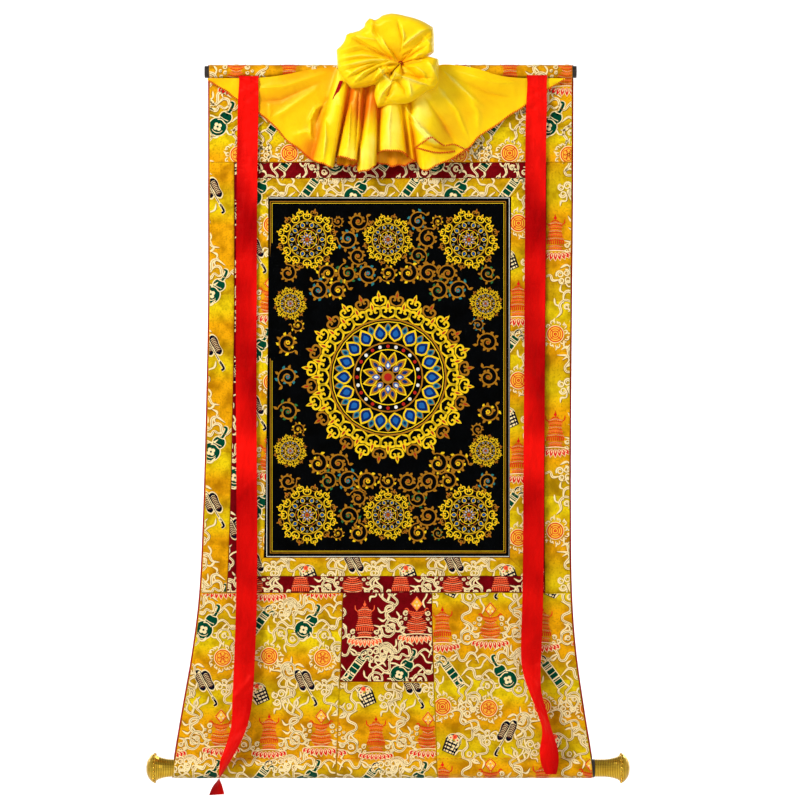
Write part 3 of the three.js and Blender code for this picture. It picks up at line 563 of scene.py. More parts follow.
def silk():
    """Habotai, a light plain-woven silk: bright and glossy on its folds, warm where light comes through, and
    painted orange in the folds' hollows and pale on their ridges.
    """
    material, tree, shader = surface("habotai_yellow", {
        "Base Color": colour("#F7BE05"), "Roughness": 0.38, "IOR": 1.5, "Specular Tint": colour("#FFDC70"),
        "Sheen Weight": 0.1, "Sheen Roughness": 0.3, "Sheen Tint": colour("#FFF0A0"), "Anisotropic": 0.3,
        "Subsurface Weight": 0.06, "Subsurface Radius": (0.003, 0.0018, 0.0003),
    })
    place = add(tree, "ShaderNodeTexCoord").outputs["Object"]
    # Crinkles of 18 mm
    crinkle = add(tree, "ShaderNodeTexNoise", {"Vector": place, "Scale": 55.0, "Detail": 4.0,
                                               "Roughness": 0.55, "Distortion": 0.6}).outputs["Fac"]
    soft = add(tree, "ShaderNodeBump", {"Height": crinkle, "Strength": 0.5, "Distance": 0.002}).outputs[0]
    # Threads of 0.15 mm would vanish, so they are drawn at 0.8 mm
    warp = add(tree, "ShaderNodeTexWave", {"Vector": place, "Scale": WAVE / 0.0008, "Distortion": 1.0},
               bands_direction="X").outputs["Fac"]
    add(tree, "ShaderNodeBump", {"Height": warp, "Strength": 0.15, "Distance": 0.0001, "Normal": soft},
        {0: shader.inputs["Normal"]})
    # Painted shade and highlight: the shade stored on the points turns the yellow to orange in the folds'
    # hollows and to pale yellow on their ridges; the crinkles add a little random tone
    fold_shade = add(tree, "ShaderNodeAttribute", attribute_name="fold_shade").outputs["Fac"]
    shade_and_mottle = add(tree, "ShaderNodeMath", {0: crinkle, 1: 0.25, 2: fold_shade}, operation="MULTIPLY_ADD").outputs[0]
    tones = ((0.12, "#FFF070"), (0.42, "#FFD60A"), (0.72, "#EDB002"), (1, "#D96A04"))
    depth = add(tree, "ShaderNodeValToRGB", {"Fac": shade_and_mottle}, {0: shader.inputs["Base Color"]})
    lay_stops(depth.color_ramp, [(at, colour(code)) for at, code in tones])
    return material


def brass():
    """Spun brass, lacquered: a warm mirror, brown in its turning lines, with dull spots from handling."""
    material, tree, shader = surface("spun_brass", {
        "Base Color": colour("#D9A22A"), "Metallic": 1.0, "Roughness": 0.2,
    })
    place = add(tree, "ShaderNodeTexCoord").outputs["Object"]
    # Turning lines every 2.1 mm, and spots of 8 mm
    lines = add(tree, "ShaderNodeTexWave", {"Vector": place, "Scale": WAVE / 0.0021, "Distortion": 0.4,
                                            "Detail": 1.0}, bands_direction="X").outputs["Fac"]
    handled = add(tree, "ShaderNodeTexNoise", {"Vector": place, "Scale": 120.0, "Detail": 4.0}).outputs["Fac"]
    add(tree, "ShaderNodeMapRange", {"Value": handled, "To Min": 0.08, "To Max": 0.26},
        {0: shader.inputs["Roughness"]})
    bright = add(tree, "ShaderNodeMix", {0: handled, 6: colour("#CC9622"), 7: colour("#FFD850")},
                 data_type="RGBA").outputs[2]
    groove = add(tree, "ShaderNodeMapRange", {"Value": lines, "From Min": 0.05, "From Max": 0.4}).outputs[0]
    add(tree, "ShaderNodeMix", {0: groove, 6: colour("#946812"), 7: bright},
        {2: shader.inputs["Base Color"]}, data_type="RGBA")
    add(tree, "ShaderNodeBump", {"Height": lines, "Strength": 0.2, "Distance": 0.00006},
        {0: shader.inputs["Normal"]})
    return material


def stained_wood():
    """Turned hardwood with a black stain: the grain shows only as faint lighter lines."""
    material, tree, shader = surface("stained_beech", {
        "Base Color": colour("#1A1310"), "Roughness": 0.45, "IOR": 1.5,
    })
    place = add(tree, "ShaderNodeTexCoord").outputs["Object"]
    # The grain is 1.4 mm wide and 30 mm long
    along = add(tree, "ShaderNodeMapping", {0: place, "Scale": (4, 90, 90)}).outputs[0]
    grain = add(tree, "ShaderNodeTexNoise", {"Vector": along, "Scale": 8.0, "Detail": 5.0}).outputs["Fac"]
    add(tree, "ShaderNodeMix", {0: grain, 6: colour("#0E0A08"), 7: colour("#2C1E16")},
        {2: shader.inputs["Base Color"]}, data_type="RGBA")
    add(tree, "ShaderNodeBump", {"Height": grain, "Strength": 0.3, "Distance": 0.0002},
        {0: shader.inputs["Normal"]})
    return material


MAKERS = {
    "yellow": yellow_brocade, "red": red_brocade, "lining": red_cotton, "ground": black_canvas,
    "satin": satin, "silk": silk, "brass": brass, "wood": stained_wood, "stitch": overlock_thread,
}


# Meshes

# Fine grid lines near a cloth's seams, where its edge turns back, and near the lining's rim
SEAM_LINES = (0, 0.5, 1.3, 2.6)
RIM_LINES = (0, 0.12, 0.3, 0.6)


def piece(name, points, faces, materials, uv=None, slots=None, smooth=True):
    """A mesh object from points in millimetres, riding on the scroll's one body."""
    mesh = bpy.data.meshes.new(name)
    mesh.from_pydata((np.asarray(points) * MM).tolist(), [], [list(f) for f in faces])
    for material in materials:
        mesh.materials.append(material)
    if slots is not None:
        mesh.polygons.foreach_set("material_index", np.asarray(slots, dtype=np.int32))
    if uv is not None:
        layer = mesh.uv_layers.new(name="cloth")
        corners = np.empty(len(mesh.loops), dtype=np.int32)
        mesh.loops.foreach_get("vertex_index", corners)
        layer.data.foreach_set("uv", (np.asarray(uv)[corners] * MM).ravel())
    mesh.polygons.foreach_set("use_smooth", np.full(len(mesh.polygons), smooth))
    mesh.update()
    mesh.validate()
    obj = bpy.data.objects.new(name, mesh)
    bpy.context.scene.collection.objects.link(obj)
    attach(obj, "root")
    return obj


def lattice(rows, columns, offset=0):
    """Quads over a grid of rows times columns points."""
    index = np.arange(rows * columns).reshape(rows, columns) + offset
    return np.stack([index[:-1, :-1], index[1:, :-1], index[1:, 1:], index[:-1, 1:]], -1).reshape(-1, 4)


def lines_between(start, end, step, fine=()):
    """Grid lines with the given fine distances kept near both ends."""
    near = [start + f for f in fine] + [end - f for f in fine]
    reach = fine[-1] if fine else 0
    count = max(2, int((end - start - 2 * reach) / step) + 1)
    return np.array(sorted({*near, *np.linspace(start + reach, end - reach, count)}))


def layer_lines(top, bottom, step):
    """Drops of a cloth's rows, closer together where it goes round a rod."""
    rows = lines_between(top + GAP / 2, bottom - GAP / 2, step, SEAM_LINES)
    extra = [np.arange(top + 1, FLAT_START, 1.2), np.arange(FLAT_STOP, bottom - 1, 1.2)]
    rows = np.concatenate([rows] + [e[(e > rows[0] + 3) & (e < rows[-1] - 3)] for e in extra])
    return np.unique(np.round(rows, 3))


def rolled(distance):
    """How far a cloth's face turns back towards its seam: 0.75 mm, within the last 0.9 mm."""
    return -0.75 * np.exp(-np.maximum(distance, 0) / 0.9)


def near_seam(obj, distance):
    """Stores how close each point lies to a seam, for the puckers: they die out over 9 mm."""
    layer = obj.data.attributes.new("seam", "FLOAT", "POINT")
    layer.data.foreach_set("value", np.exp(-distance / 9).reshape(-1).astype(np.float32))


def repeat_uv(layout, x, down):
    """Cloth coordinates that start at the repeat's first gourd, so that the bands follow the figures."""
    start_x, start_drop, across, along = LAYOUTS.get(layout, (0, 0, 1, 1))
    return np.stack([(x - start_x) / across, -(down - start_drop) / along], -1).reshape(-1, 2)


def cloth_panel(name, node, material, layout, left, right, top, bottom):
    """One cloth of the front: a fine sheet whose edges turn back into the seams."""
    left, right = left + GAP / 2, right - GAP / 2
    xs = lines_between(left, right, 5, SEAM_LINES)
    downs = layer_lines(top, bottom, 5)
    x, down = np.meshgrid(xs, downs)
    sides = np.minimum(x - left, right - x)
    ends = np.minimum(down - downs[0], downs[-1] - down)
    lift = BROCADE / 2 + rolled(sides) + rolled(ends)
    points = FRONT.place(x, down, lift)
    made = piece(name, points.reshape(-1, 3), lattice(len(downs), len(xs)), [material],
                 repeat_uv(layout, x, down))
    near_seam(made, np.minimum(sides, ends))
    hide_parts(node)
    return made


# Flat drawing

def curve(points, closed=False, per=5):
    """A smooth line through points."""
    p = np.asarray(points, float)
    if len(p) < 3 and not closed:
        return np.array([p[0] + (p[-1] - p[0]) * t for t in np.linspace(0, 1, per)])
    q = np.vstack([p[-1], p, p[0], p[1]]) if closed else np.vstack([2 * p[0] - p[1], p, 2 * p[-1] - p[-2]])
    t = np.linspace(0, 1, per, endpoint=False)[:, None]
    out = []
    for a, b, c, d in zip(q, q[1:], q[2:], q[3:]):
        out.append(0.5 * (2 * b + (c - a) * t + (2 * a - 5 * b + 4 * c - d) * t ** 2
                          + (3 * b - a - 3 * c + d) * t ** 3))
    path = np.vstack(out)
    return path if closed else np.vstack([path, p[-1]])


def arc(x, y, radius, start=0, end=360, count=None):
    """Points round a circle, between two angles in degrees."""
    angles = np.radians(np.linspace(start, end, count or max(6, int(abs(end - start) / 18) + 1)))
    return np.stack([x + radius * np.cos(angles), y + radius * np.sin(angles)], 1)


class Drawing:
    """Flat shapes in millimetres, y up. Each has a colour and a level over the cloth."""

    def __init__(self):
        self.points = [np.zeros((0, 3))]
        self.faces = []
        self.tints = []
        self.count = 0

    def _put(self, points, level, faces, tints):
        """Keeps a shape's points and faces after those that are there."""
        points = np.asarray(points, float)
        self.points.append(np.column_stack([points, np.full(len(points), level)]))
        self.faces += [[i + self.count for i in face] for face in faces]
        self.tints += tints
        self.count += len(points)

    def fill(self, outline, hue, level=1):
        """A flat shape of any outline."""
        ring = np.asarray(outline, float)
        triangles = tessellate_polygon([[Vector((x, y, 0)) for x, y in ring]])
        turned = []
        for a, b, c in triangles:
            (ax, ay), (bx, by), (cx, cy) = ring[a], ring[b], ring[c]
            up = (bx - ax) * (cy - ay) - (by - ay) * (cx - ax) > 0
            turned.append((a, b, c) if up else (a, c, b))
        self._put(ring, level, turned, [hue] * len(turned))

    def line(self, path, width, hue, level=1, taper=0.0, closed=False):
        """A line of one width, or of a width a point, that may thin towards its ends."""
        path = np.asarray(path, float)
        if closed:
            path = np.vstack([path, path[:1]])
        along = np.gradient(path, axis=0)
        if closed:
            along[0] = along[-1] = path[1] - path[-2]
        along /= np.maximum(np.linalg.norm(along, axis=1), 1e-9)[:, None]
        side = np.stack([-along[:, 1], along[:, 0]], 1)
        t = np.linspace(0, 1, len(path))
        half = width / 2 * (1 - taper * np.abs(2 * t - 1) ** 3)
        points = np.concatenate([path + side * half[:, None], path - side * half[:, None]])
        n = len(path)
        faces = [(i, n + i, n + i + 1, i + 1) for i in range(n - 1)]
        self._put(points, level, faces, [hue] * len(faces))

    def disc(self, x, y, radius, hue, level=1):
        """A round dot."""
        ring = arc(x, y, radius, 0, 360, 21)[:-1]
        self._put(ring, level, [tuple(range(20))], [hue])

    def band(self, x, y, radius, width, hue, level=1):
        """A ring."""
        self.line(arc(x, y, radius, 0, 360, 29)[:-1], width, hue, level, closed=True)

    def leaf(self, x, y, length, width, turn, hue, level=1):
        """A pointed leaf or petal from its foot, turned by degrees."""
        t = np.linspace(0, 1, 7)
        bulge = width / 2 * np.sin(math.pi * t ** 0.8)
        side = np.concatenate([np.stack([length * t, bulge], 1), np.stack([length * t, -bulge], 1)[-2:0:-1]])
        a = math.radians(turn)
        spin = np.array([[math.cos(a), math.sin(a)], [-math.sin(a), math.cos(a)]])
        ring = (side @ spin + (x, y))[::-1]
        self._put(ring, level, [tuple(range(len(ring)))[::-1]], [hue])

    def merge(self, other, x=0, y=0, turn=0, scale=1.0, flip=False):
        """Adds another drawing, flipped, scaled and turned before it is put in its place."""
        points, faces, tints = other
        a = math.radians(turn)
        spin = np.array([[math.cos(a), math.sin(a)], [-math.sin(a), math.cos(a)]])
        flat = points[:, :2] * ((-scale, scale) if flip else (scale, scale)) @ spin + (x, y)
        self.points.append(np.column_stack([flat, points[:, 2]]))
        self.faces += [[i + self.count for i in (face[::-1] if flip else face)] for face in faces]
        self.tints += tints
        self.count += len(points)

    def done(self):
        """The points, the faces and each face's colour."""
        return np.vstack(self.points), self.faces, self.tints


# Figures of the brocade

def gourd():
    """A bottle gourd with a coin mark, tied at the waist."""
    d = Drawing()
    stem = curve([(7, 8), (11, 13), (14, 18), (15.5, 23), (12, 25)])
    for grow, hue, level in ((1.3, "cream", 0), (0, "green", 1)):
        d.disc(-4, -6, 11 + grow, hue, level)
        d.disc(6, 5.5, 7.4 + grow, hue, level)
        d.line(stem, 3.2 + 2 * grow, hue, level, 0.4)
    for k in range(4):
        d.disc(-4 + 3 * math.cos(k * 1.57 + 0.5), -6 + 3 * math.sin(k * 1.57 + 0.5), 2.5, "cream", 2)
    d.disc(-4, -6, 1.3, "green", 3)
    d.line(arc(-4, -6, 7.6, 200, 320, 9), 0.9, "cream", 2, 0.6)
    d.line(curve([(-4, 3.4), (1, 2.6), (6, -2.6)]), 1.3, "cream", 2)
    d.line(curve([(-1.4, 7), (4, 3.4), (9, 1)]), 0.9, "cream", 2)
    d.line(curve([(4, 13.4), (8, 11), (13, 9.4)]), 1.1, "cream", 2)
    return d.done()


def tube():
    """A bamboo fish drum: banded, with two clappers that end in hooks."""
    d = Drawing()
    for y0, y1 in ((-21, -9), (-7, 5), (7, 15)):
        d.fill([(-6, y0 - 1), (6, y0 - 1), (6, y1 + 1), (-6, y1 + 1)], "cream", 0)
        d.fill([(-4.8, y0), (4.8, y0), (4.8, y1), (-4.8, y1)], "green", 1)
    for y in (-19, -17, -11, -1, 9, 11):
        d.line([(-4.8, y), (0, y), (4.8, y)], 0.9, "cream", 2)
    hooks = {"navy": [(-3, 15), (-4, 21), (-1, 25), (3, 23)], "green": [(3, 15), (4, 20), (8, 21), (8.6, 17)]}
    for hue, hook in hooks.items():
        d.line(curve(hook), 3, "cream", 0)
        d.line(curve(hook), 1.7, hue, 1)
    turned = Drawing()
    turned.merge(d.done(), 0, 0, -36)
    return turned.done()


def collar(d, radius, count):
    """Little cloud heads and licks all round a roundel, no two alike."""
    for k in range(count):
        turn = 360 / count * k + 12
        a = math.radians(turn)
        r = radius + (1.6 if k % 2 else 0)
        x, y = r * math.cos(a), r * math.sin(a)
        lick = turn + (48 if k % 3 else -36)
        d.leaf(x, y, 6.6 - (k % 3), 2.3, lick, "cream", 0)
        path = arc(x, y, 2.6 if k % 2 else 2.1, turn - 130, turn + 130 - 30 * (k % 3), 9)
        # A painted shadow: an umber copy of each head's line, set down and to the right under the cream
        d.line(path + (0.3, -0.4), 1.7, "umber", 0, 0.4)
        d.line(path, 1.5, "cream", 1, 0.4)


def wheel():
    """A roundel with a latticed face in a collar of clouds."""
    d = Drawing()
    collar(d, 13.6, 13)
    d.disc(0, 0, 11.2, "cream", 1)
    d.disc(0, 0, 10.4, "honey", 2)
    d.band(0, 0, 9.4, 1.1, "red", 3)
    for k in range(6):
        a = math.radians(60 * k + 30)
        d.band(4.4 * math.cos(a), 4.4 * math.sin(a), 3, 0.8, "red", 3)
    d.band(0, 0, 1.4, 0.9, "red", 3)
    return d.done()


def roundel():
    """A roundel of nested bars and rings."""
    d = Drawing()
    collar(d, 13.2, 12)
    d.disc(0, 0, 11.2, "cream", 1)
    d.disc(0, 0, 10.4, "honey", 2)
    for r, width in ((9.4, 1.2), (6.6, 0.9), (3.9, 1), (1.2, 1.4)):
        d.band(0, 0, r, width, "red", 3)
    for k in range(4):
        a = math.radians(90 * k + 45)
        d.line([(4 * math.cos(a), 4 * math.sin(a)), (7 * math.cos(a), 7 * math.sin(a)),
                (9.4 * math.cos(a), 9.4 * math.sin(a))], 0.9, "red", 3)
    return d.done()


def fan():
    """A palm fan of two lobes on a hooked handle."""
    d = Drawing()
    rim = curve([(0, -14), (4.6, -10), (4.2, -2), (5.6, 7), (3.4, 13), (0, 14.5), (-3.4, 13),
                 (-5.2, 6), (-3.8, -3), (-4.2, -10)], True, 3)
    lobe = Drawing()
    lobe.fill(rim * 1.16, "cream", 0)
    lobe.fill(rim * 1.02, "navy", 1)
    lobe.fill(rim * 0.72, "brown", 2)
    for k in range(8):
        y = -8 + 2.5 * k
        lobe.line([(-3.2, y), (0, y + 1.3), (3.2, y)], 0.7, "cream", 3, 0.4)
    for x, scale, turn in ((-5, 0.94, 20), (5, 0.9, 27)):
        d.merge(lobe.done(), x, 3.4, turn, scale)
    d.line(curve([(-7, 15), (0, 1), (9, -15), (12, -21)]), 2.6, "cream", 2)
    d.line(curve([(-6, 13), (1, -1), (9, -15)]), 0.9, "navy", 3)
    d.line(curve([(10, -17), (13.5, -22), (15, -26), (12, -28)]), 4, "cream", 1)
    d.line(curve([(10, -17), (13.5, -22), (15, -26), (12, -28)]), 2.6, "navy", 2)
    return d.done()


def basket():
    """A flower basket with a round handle."""
    d = Drawing()
    d.fill([(-10, 7), (-8.5, -10), (8.5, -10), (10, 7)], "navy", 0)
    for y in (-8, -3.6, 0.8, 5.2):
        half = 7.4 + y * 0.1
        d.fill([(-half, y - 1.1), (half, y - 1.1), (half, y + 1.1), (-half, y + 1.1)], "cream", 1)
    for x in (-5, 0, 5):
        d.line([(x * 0.9, -10), (x, 0), (x * 1.1, 7)], 1.2, "navy", 2)
    d.line(arc(0, 6, 8.6, 0, 180, 13), 3.2, "cream", 0)
    d.line(arc(0, 6, 8.6, 0, 180, 13), 1.4, "navy", 1)
    for x, y, hue in ((-4.4, 9.4, "cream"), (0.4, 12, "coral"), (4.8, 9.2, "cream")):
        for k in range(5):
            d.disc(x + 1.9 * math.cos(1.257 * k), y + 1.9 * math.sin(1.257 * k), 1.5, hue, 2)
        d.disc(x, y, 1, "red", 3)
    turned = Drawing()
    turned.merge(d.done(), 0, 0, 24)
    return turned.done()


def lotus_seat(d, y, half):
    """A row of red lotus petals under a figure."""
    for k in (-4, 4, -3, 3, -2, 2, -1, 1, 0):
        x = half * 0.92 * k / 4
        lean = 270 + k * 11
        long = 9.6 * (1 - (k / 6.4) ** 2)
        d.leaf(x, y + 4.4, long + 2, 6, lean, "cream", 1)
        d.leaf(x, y + 3.9, long + 0.6, 4.2, lean, "red", 2)
        d.leaf(x, y + 2.9, long * 0.5, 1.3, lean, "cream", 3)
    d.line(curve([(-half, y + 4.8), (0, y + 6.6), (half, y + 4.8)]), 1.2, "cream", 3)


def tiers(d, rows):
    """Stacked curved bands of line work: level, half width, colour, sag."""
    for y, half, hue, sag in rows:
        # A cream band carries red dots, and every other one short strokes
        d.line(curve([(-half, y + sag), (0, y - sag), (half, y + sag)]), 1.15, hue, 1, 0.2)
        count = max(3, int(half / 1.5))
        for k in range(-count, count + 1):
            x = k * half / (count + 0.6)
            rise = sag * (2 * (x / half) ** 2 - 1)
            if hue == "cream":
                d.disc(x, y + rise, 0.62, "red", 2)
            elif (k + count) % 2:
                d.line([(x, y + rise), (x, y + rise + 0.8), (x, y + rise + 1.6)], 0.6, hue, 1)


def vase():
    """A jewelled vase on a lotus seat."""
    d = Drawing()
    lotus_seat(d, -25, 20)
    tiers(d, ((-17.6, 9, "red", 1), (-15.2, 11, "cream", 1), (-12.8, 12.6, "red", 1), (-10.4, 13, "coral", 1),
              (-8, 13, "red", 1), (-5.6, 12, "cream", 1), (-3.2, 11, "red", 1), (-0.8, 8, "coral", 1),
              (1.6, 6, "cream", 1), (4, 8, "red", 1), (6.6, 11, "coral", 1), (9, 12, "red", 1.4)))
    for side in (-1, 1):
        for x, y, r in ((14, 7, 3.6), (18, -14, 3.8), (19, -5, 2.6), (14, 0, 2.4), (20, 2, 2)):
            cloud_lobe(d, side * x, y, r, 90 + side * 60)
        d.line(curve([(side * 9, 9), (side * 12, 13), (side * 15, 12)]), 1.3, "red", 1, 0.5)
    diamond = np.array([(0, 28), (7.6, 18.6), (0, 9.4), (-7.6, 18.6)], float)
    for scale, hue, level in ((1, "cream", 1), (0.86, "honey", 2)):
        d.fill((diamond - (0, 18.6)) * scale + (0, 18.6), hue, level)
    rim = (diamond - (0, 18.6)) * 0.9 + (0, 18.6)
    for a, b in zip(rim, np.roll(rim, 1, axis=0)):
        d.line([a, (a + b) / 2, b], 1.1, "red", 3)
    for x, y in ((-2.3, 16.4), (2.3, 16.4), (0, 20.8)):
        d.leaf(x, y - 2, 4, 2.6, 90, "cream", 3)
        d.disc(x, y - 1, 0.9, "red", 3)
    return d.done()


def parasol():
    """A tiered canopy on a lotus seat."""
    d = Drawing()
    lotus_seat(d, -25, 18)
    d.disc(0, 22, 1.9, "red", 1)
    d.line([(0, 22), (0, 24), (0, 27)], 1.4, "red", 1, 0.8)
    tiers(d, ((18, 5, "red", -0.8), (15.6, 8, "cream", -0.8), (13.2, 9, "red", -0.8),
              (10.8, 9, "coral", -0.8), (8.4, 8.4, "red", -0.5), (6, 8, "cream", -0.5),
              (3.6, 8.6, "red", -0.5), (1.2, 9.4, "coral", -0.5), (-1.2, 10, "red", -0.6),
              (-3.6, 10.6, "cream", -0.6), (-6, 11.4, "red", -0.6), (-13, 9, "cream", -0.6),
              (-15.4, 8, "coral", -0.6), (-17.8, 9, "red", -0.4)))
    for k in range(-4, 5):
        d.line([(k * 2.4, -10.8), (k * 2.5, -9), (k * 2.6, -6.4)], 1.3, "red", 2)
    for side in (-1, 1):
        d.line(curve([(side * 8, 13), (side * 11.5, 16), (side * 12, 21)]), 1.3, "red", 1, 0.5)
        for x, y, r in ((15, -12, 3.4), (20, -17, 2.8), (14, -19, 2.4)):
            cloud_lobe(d, side * x, y, r, 90 + side * 60)
    return d.done()


def scroll_band(d, path, width, swing=0.0):
    """A cream ribbon of cloud that swells and thins, with a shadow on its low side and a fine inner line."""
    t = np.linspace(0, 1, len(path))
    swell = width * (0.12 + 0.88 * np.sin(math.pi * t) ** 0.6) * (1 + 0.25 * np.sin(8 * t + swing))
    d.line(path + (0.35, -0.5), swell + 0.5, "umber", 0)
    d.line(path, swell, "cream", 1)
    if width > 3:
        d.line(path[4:-4], 0.55, "umber", 2, 0.7)


def cloud_lobe(d, x, y, radius, turn):
    """One round head of a cloud: a cream line that winds in on itself."""
    t = np.linspace(0, 1, 23)
    a = math.radians(turn) + t * 9.6
    r = radius * (0.92 - 0.62 * t)
    path = np.stack([x + r * np.cos(a), y + r * np.sin(a)], 1)
    swell = min(2.1, radius * 0.42) * (1 - 0.45 * t)
    # A painted shadow: an umber copy of the line, set down and to the right under the cream
    d.line(path + (0.35, -0.5), swell + 0.4, "umber", 0)
    d.line(path, swell, "cream", 1)


def puff():
    """A cloud head of four lobes with a tail."""
    d = Drawing()
    scroll_band(d, curve([(3, -4), (10, -9), (16, -5), (21, -10), (28, -8)]), 3.2)
    scroll_band(d, curve([(-4, -3), (-11, -6), (-15, -1), (-21, -3)]), 2.4, 2)
    for x, y, r, turn in ((0, 7.6, 4.6, 40), (-6, 1.4, 5, 120), (6, 2, 5.4, 300), (0, -4, 4.2, 210)):
        cloud_lobe(d, x, y, r, turn)
    return d.done()


def trail():
    """A long wavy ribbon of cloud that forks at its end."""
    d = Drawing()
    scroll_band(d, curve([(7, 1), (13, -3), (18, -9), (26, -9)]), 2.4, 1)
    scroll_band(d, curve([(-12, 4), (-16, 10), (-11, 16)]), 2.2, 3)
    scroll_band(d, curve([(-21, -6), (-14, 4), (-7, 4), (-3, -5), (3, -6), (8, 2), (14, 6), (23, 1)]), 3.5)
    return d.done()


def curl():
    """A hook of cloud that winds into a head, with two licks."""
    d = Drawing()
    scroll_band(d, curve([(-7, 2), (-13, 6), (-13, 14)]), 2.4, 1)
    scroll_band(d, curve([(6, 3), (12, 7), (20, 3)]), 2.6, 2)
    scroll_band(d, curve([(-15, -11), (-8, -5), (-8, 4), (-1, 9), (7, 5), (7, -3), (1, -6)]), 3.3)
    cloud_lobe(d, 0.2, 0.2, 4, 20)
    return d.done()


MOTIFS = {maker.__name__: maker for maker in (gourd, tube, wheel, roundel, fan, basket, vase, parasol,
                                               puff, trail, curl)}


def woven_field(layout, left, right, top, bottom, motifs):
    """The repeat's figures and clouds over one cloth, in real millimetres with y up."""
    start_x, start_drop, across, along = LAYOUTS[layout]
    mirrored = across < 0
    wide, high = REPEAT[0] * abs(across), REPEAT[1] * along

    def copies(low, end, start, pitch):
        first = math.floor((low - FIELD_MARGIN - start) / pitch) - 1
        last = math.ceil((end + FIELD_MARGIN - start) / pitch) + 1
        return [start + pitch * k for k in range(first, last + 1)]

    d = Drawing()
    items = [(kind, x, drop, 0, 0) for kind, x, drop in FIGURES] + CLOUDS
    for from_x in copies(left, right, start_x, wide):
        for from_drop in copies(top, bottom, start_drop, high):
            for kind, x, drop, turn, flip in items:
                px, py = from_x + x * across, from_drop + drop * along
                inside = left - FIGURE_REACH < px < right + FIGURE_REACH
                if inside and top - FIGURE_REACH < py < bottom + FIGURE_REACH:
                    d.merge(motifs[kind], px, -py, -turn if mirrored else turn, 1.0, bool(flip) != mirrored)
    return d.done()


def laid_on(name, drawing, left, right, top, bottom, slot, corners=None, levels=WEFT_LEVELS):
    """Cuts a flat drawing to its cloth, wraps it over the cloth and joins it as one piece."""
    points, faces, hues = drawing
    if slot == "brocade_red":
        hues = [ON_RED.get(hue, hue) for hue in hues]
    names = sorted(set(hues))
    flat = points.copy()
    drop = -points[:, 1]
    flat[:, 0] /= flare(points[:, 0], drop)
    mesh = bpy.data.meshes.new(name + "_flat")
    mesh.from_pydata(flat.tolist(), [], faces)
    mesh.polygons.foreach_set("material_index", np.array([names.index(h) for h in hues], dtype=np.int32))
    bm = bmesh.new()
    bm.from_mesh(mesh)
    bpy.data.meshes.remove(mesh)

    def cut(at, way, clear=True):
        everything = bm.verts[:] + bm.edges[:] + bm.faces[:]
        bmesh.ops.bisect_plane(bm, geom=everything, plane_co=at, plane_no=way, dist=1e-4, clear_outer=clear)

    if corners is None:
        corners = [(left, top), (right, top), (right, bottom), (left, bottom)]
    for (xa, da), (xb, db) in zip(corners, corners[1:] + corners[:1]):
        cut((xa, -da, 0), ((-da) - (-db), xb - xa, 0))
    # Rows of 2 mm where the cloth goes round a rod
    for down in (*np.arange(top, min(bottom, FLAT_START), 2), *np.arange(max(top, FLAT_STOP), bottom, 2)):
        cut((0, -down, 0), (0, 1, 0), False)
    bm.verts.ensure_lookup_table()
    if not bm.faces:
        bm.free()
        return None
    coords = np.array([v.co for v in bm.verts])
    cells = [[v.index for v in f.verts] for f in bm.faces]
    slots = [f.material_index for f in bm.faces]
    bm.free()
    lift = BROCADE / 2 + np.take(levels, np.clip(np.round(coords[:, 2]).astype(int), 0, 3))
    placed = FRONT.place(coords[:, 0], -coords[:, 1], lift)
    return piece(name, placed, cells, [tint(n) for n in names], coords[:, :2], slots, False)


def lining():
    """The cotton lining: a shell as thick as the cloth, whose rounded edges frame the front in red."""
    xs = lines_between(-HALF_WIDTH, HALF_WIDTH, 9, RIM_LINES)
    downs = layer_lines(BACK.top, BACK.bottom, 9)
    x, down = np.meshgrid(xs, downs)
    rim = np.minimum(HALF_WIDTH - np.abs(x), np.minimum(down - downs[0], downs[-1] - down))
    half = LINING / 2 * np.sqrt(1 - (1 - np.clip(rim / 0.45, 0, 1)) ** 2)
    back = BACK.place(x, down, half)
    front = BACK.place(x, down, -half)
    rows, columns = x.shape
    faces = np.vstack([lattice(rows, columns)[:, ::-1], lattice(rows, columns, rows * columns)])
    uv = np.stack([x, -down], -1).reshape(-1, 2)
    made = piece("lining_cloth", np.vstack([back.reshape(-1, 3), front.reshape(-1, 3)]), faces,
                 [finish("lining")], np.vstack([uv, uv]))
    weld(made)
    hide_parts("lining")
    return made


def weld(obj):
    """Joins the points that lie on one another."""
    bm = bmesh.new()
    bm.from_mesh(obj.data)
    bmesh.ops.remove_doubles(bm, verts=bm.verts[:], dist=1e-6)
    bm.to_mesh(obj.data)
    bm.free()


def mitred_strip(name, node, start, end, inward, material):
    """A border strip 23 mm wide whose ends are cut at 45 degrees."""
    start, end, inward = (np.asarray(v, float) for v in (start, end, inward))
    length = float(np.linalg.norm(end - start))
    along = (end - start) / length
    depth = lines_between(GAP / 2, PICTURE_TOP - BORDER_TOP - GAP / 2, 4, SEAM_LINES)
    share = lines_between(0, length, 5, SEAM_LINES) / length
    d, t = np.meshgrid(depth, share)
    cut = d + GAP * 0.7
    at = start + inward * d[..., None] + along * (cut + (length - 2 * cut) * t)[..., None]
    sides = np.minimum(d - depth[0], depth[-1] - d)
    ends = np.minimum(t, 1 - t) * length * 0.7
    points = FRONT.place(at[..., 0], at[..., 1], BROCADE / 2 + rolled(sides) + rolled(ends))
    rows, columns = d.shape
    faces = lattice(rows, columns)
    if inward[0] * along[1] - inward[1] * along[0] < 0:
        faces = faces[:, ::-1]
    made = piece(name, points.reshape(-1, 3), faces, [material],
                 repeat_uv("border", at[..., 0], at[..., 1]))
    near_seam(made, np.minimum(sides, ends))
    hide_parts(node)
    return made


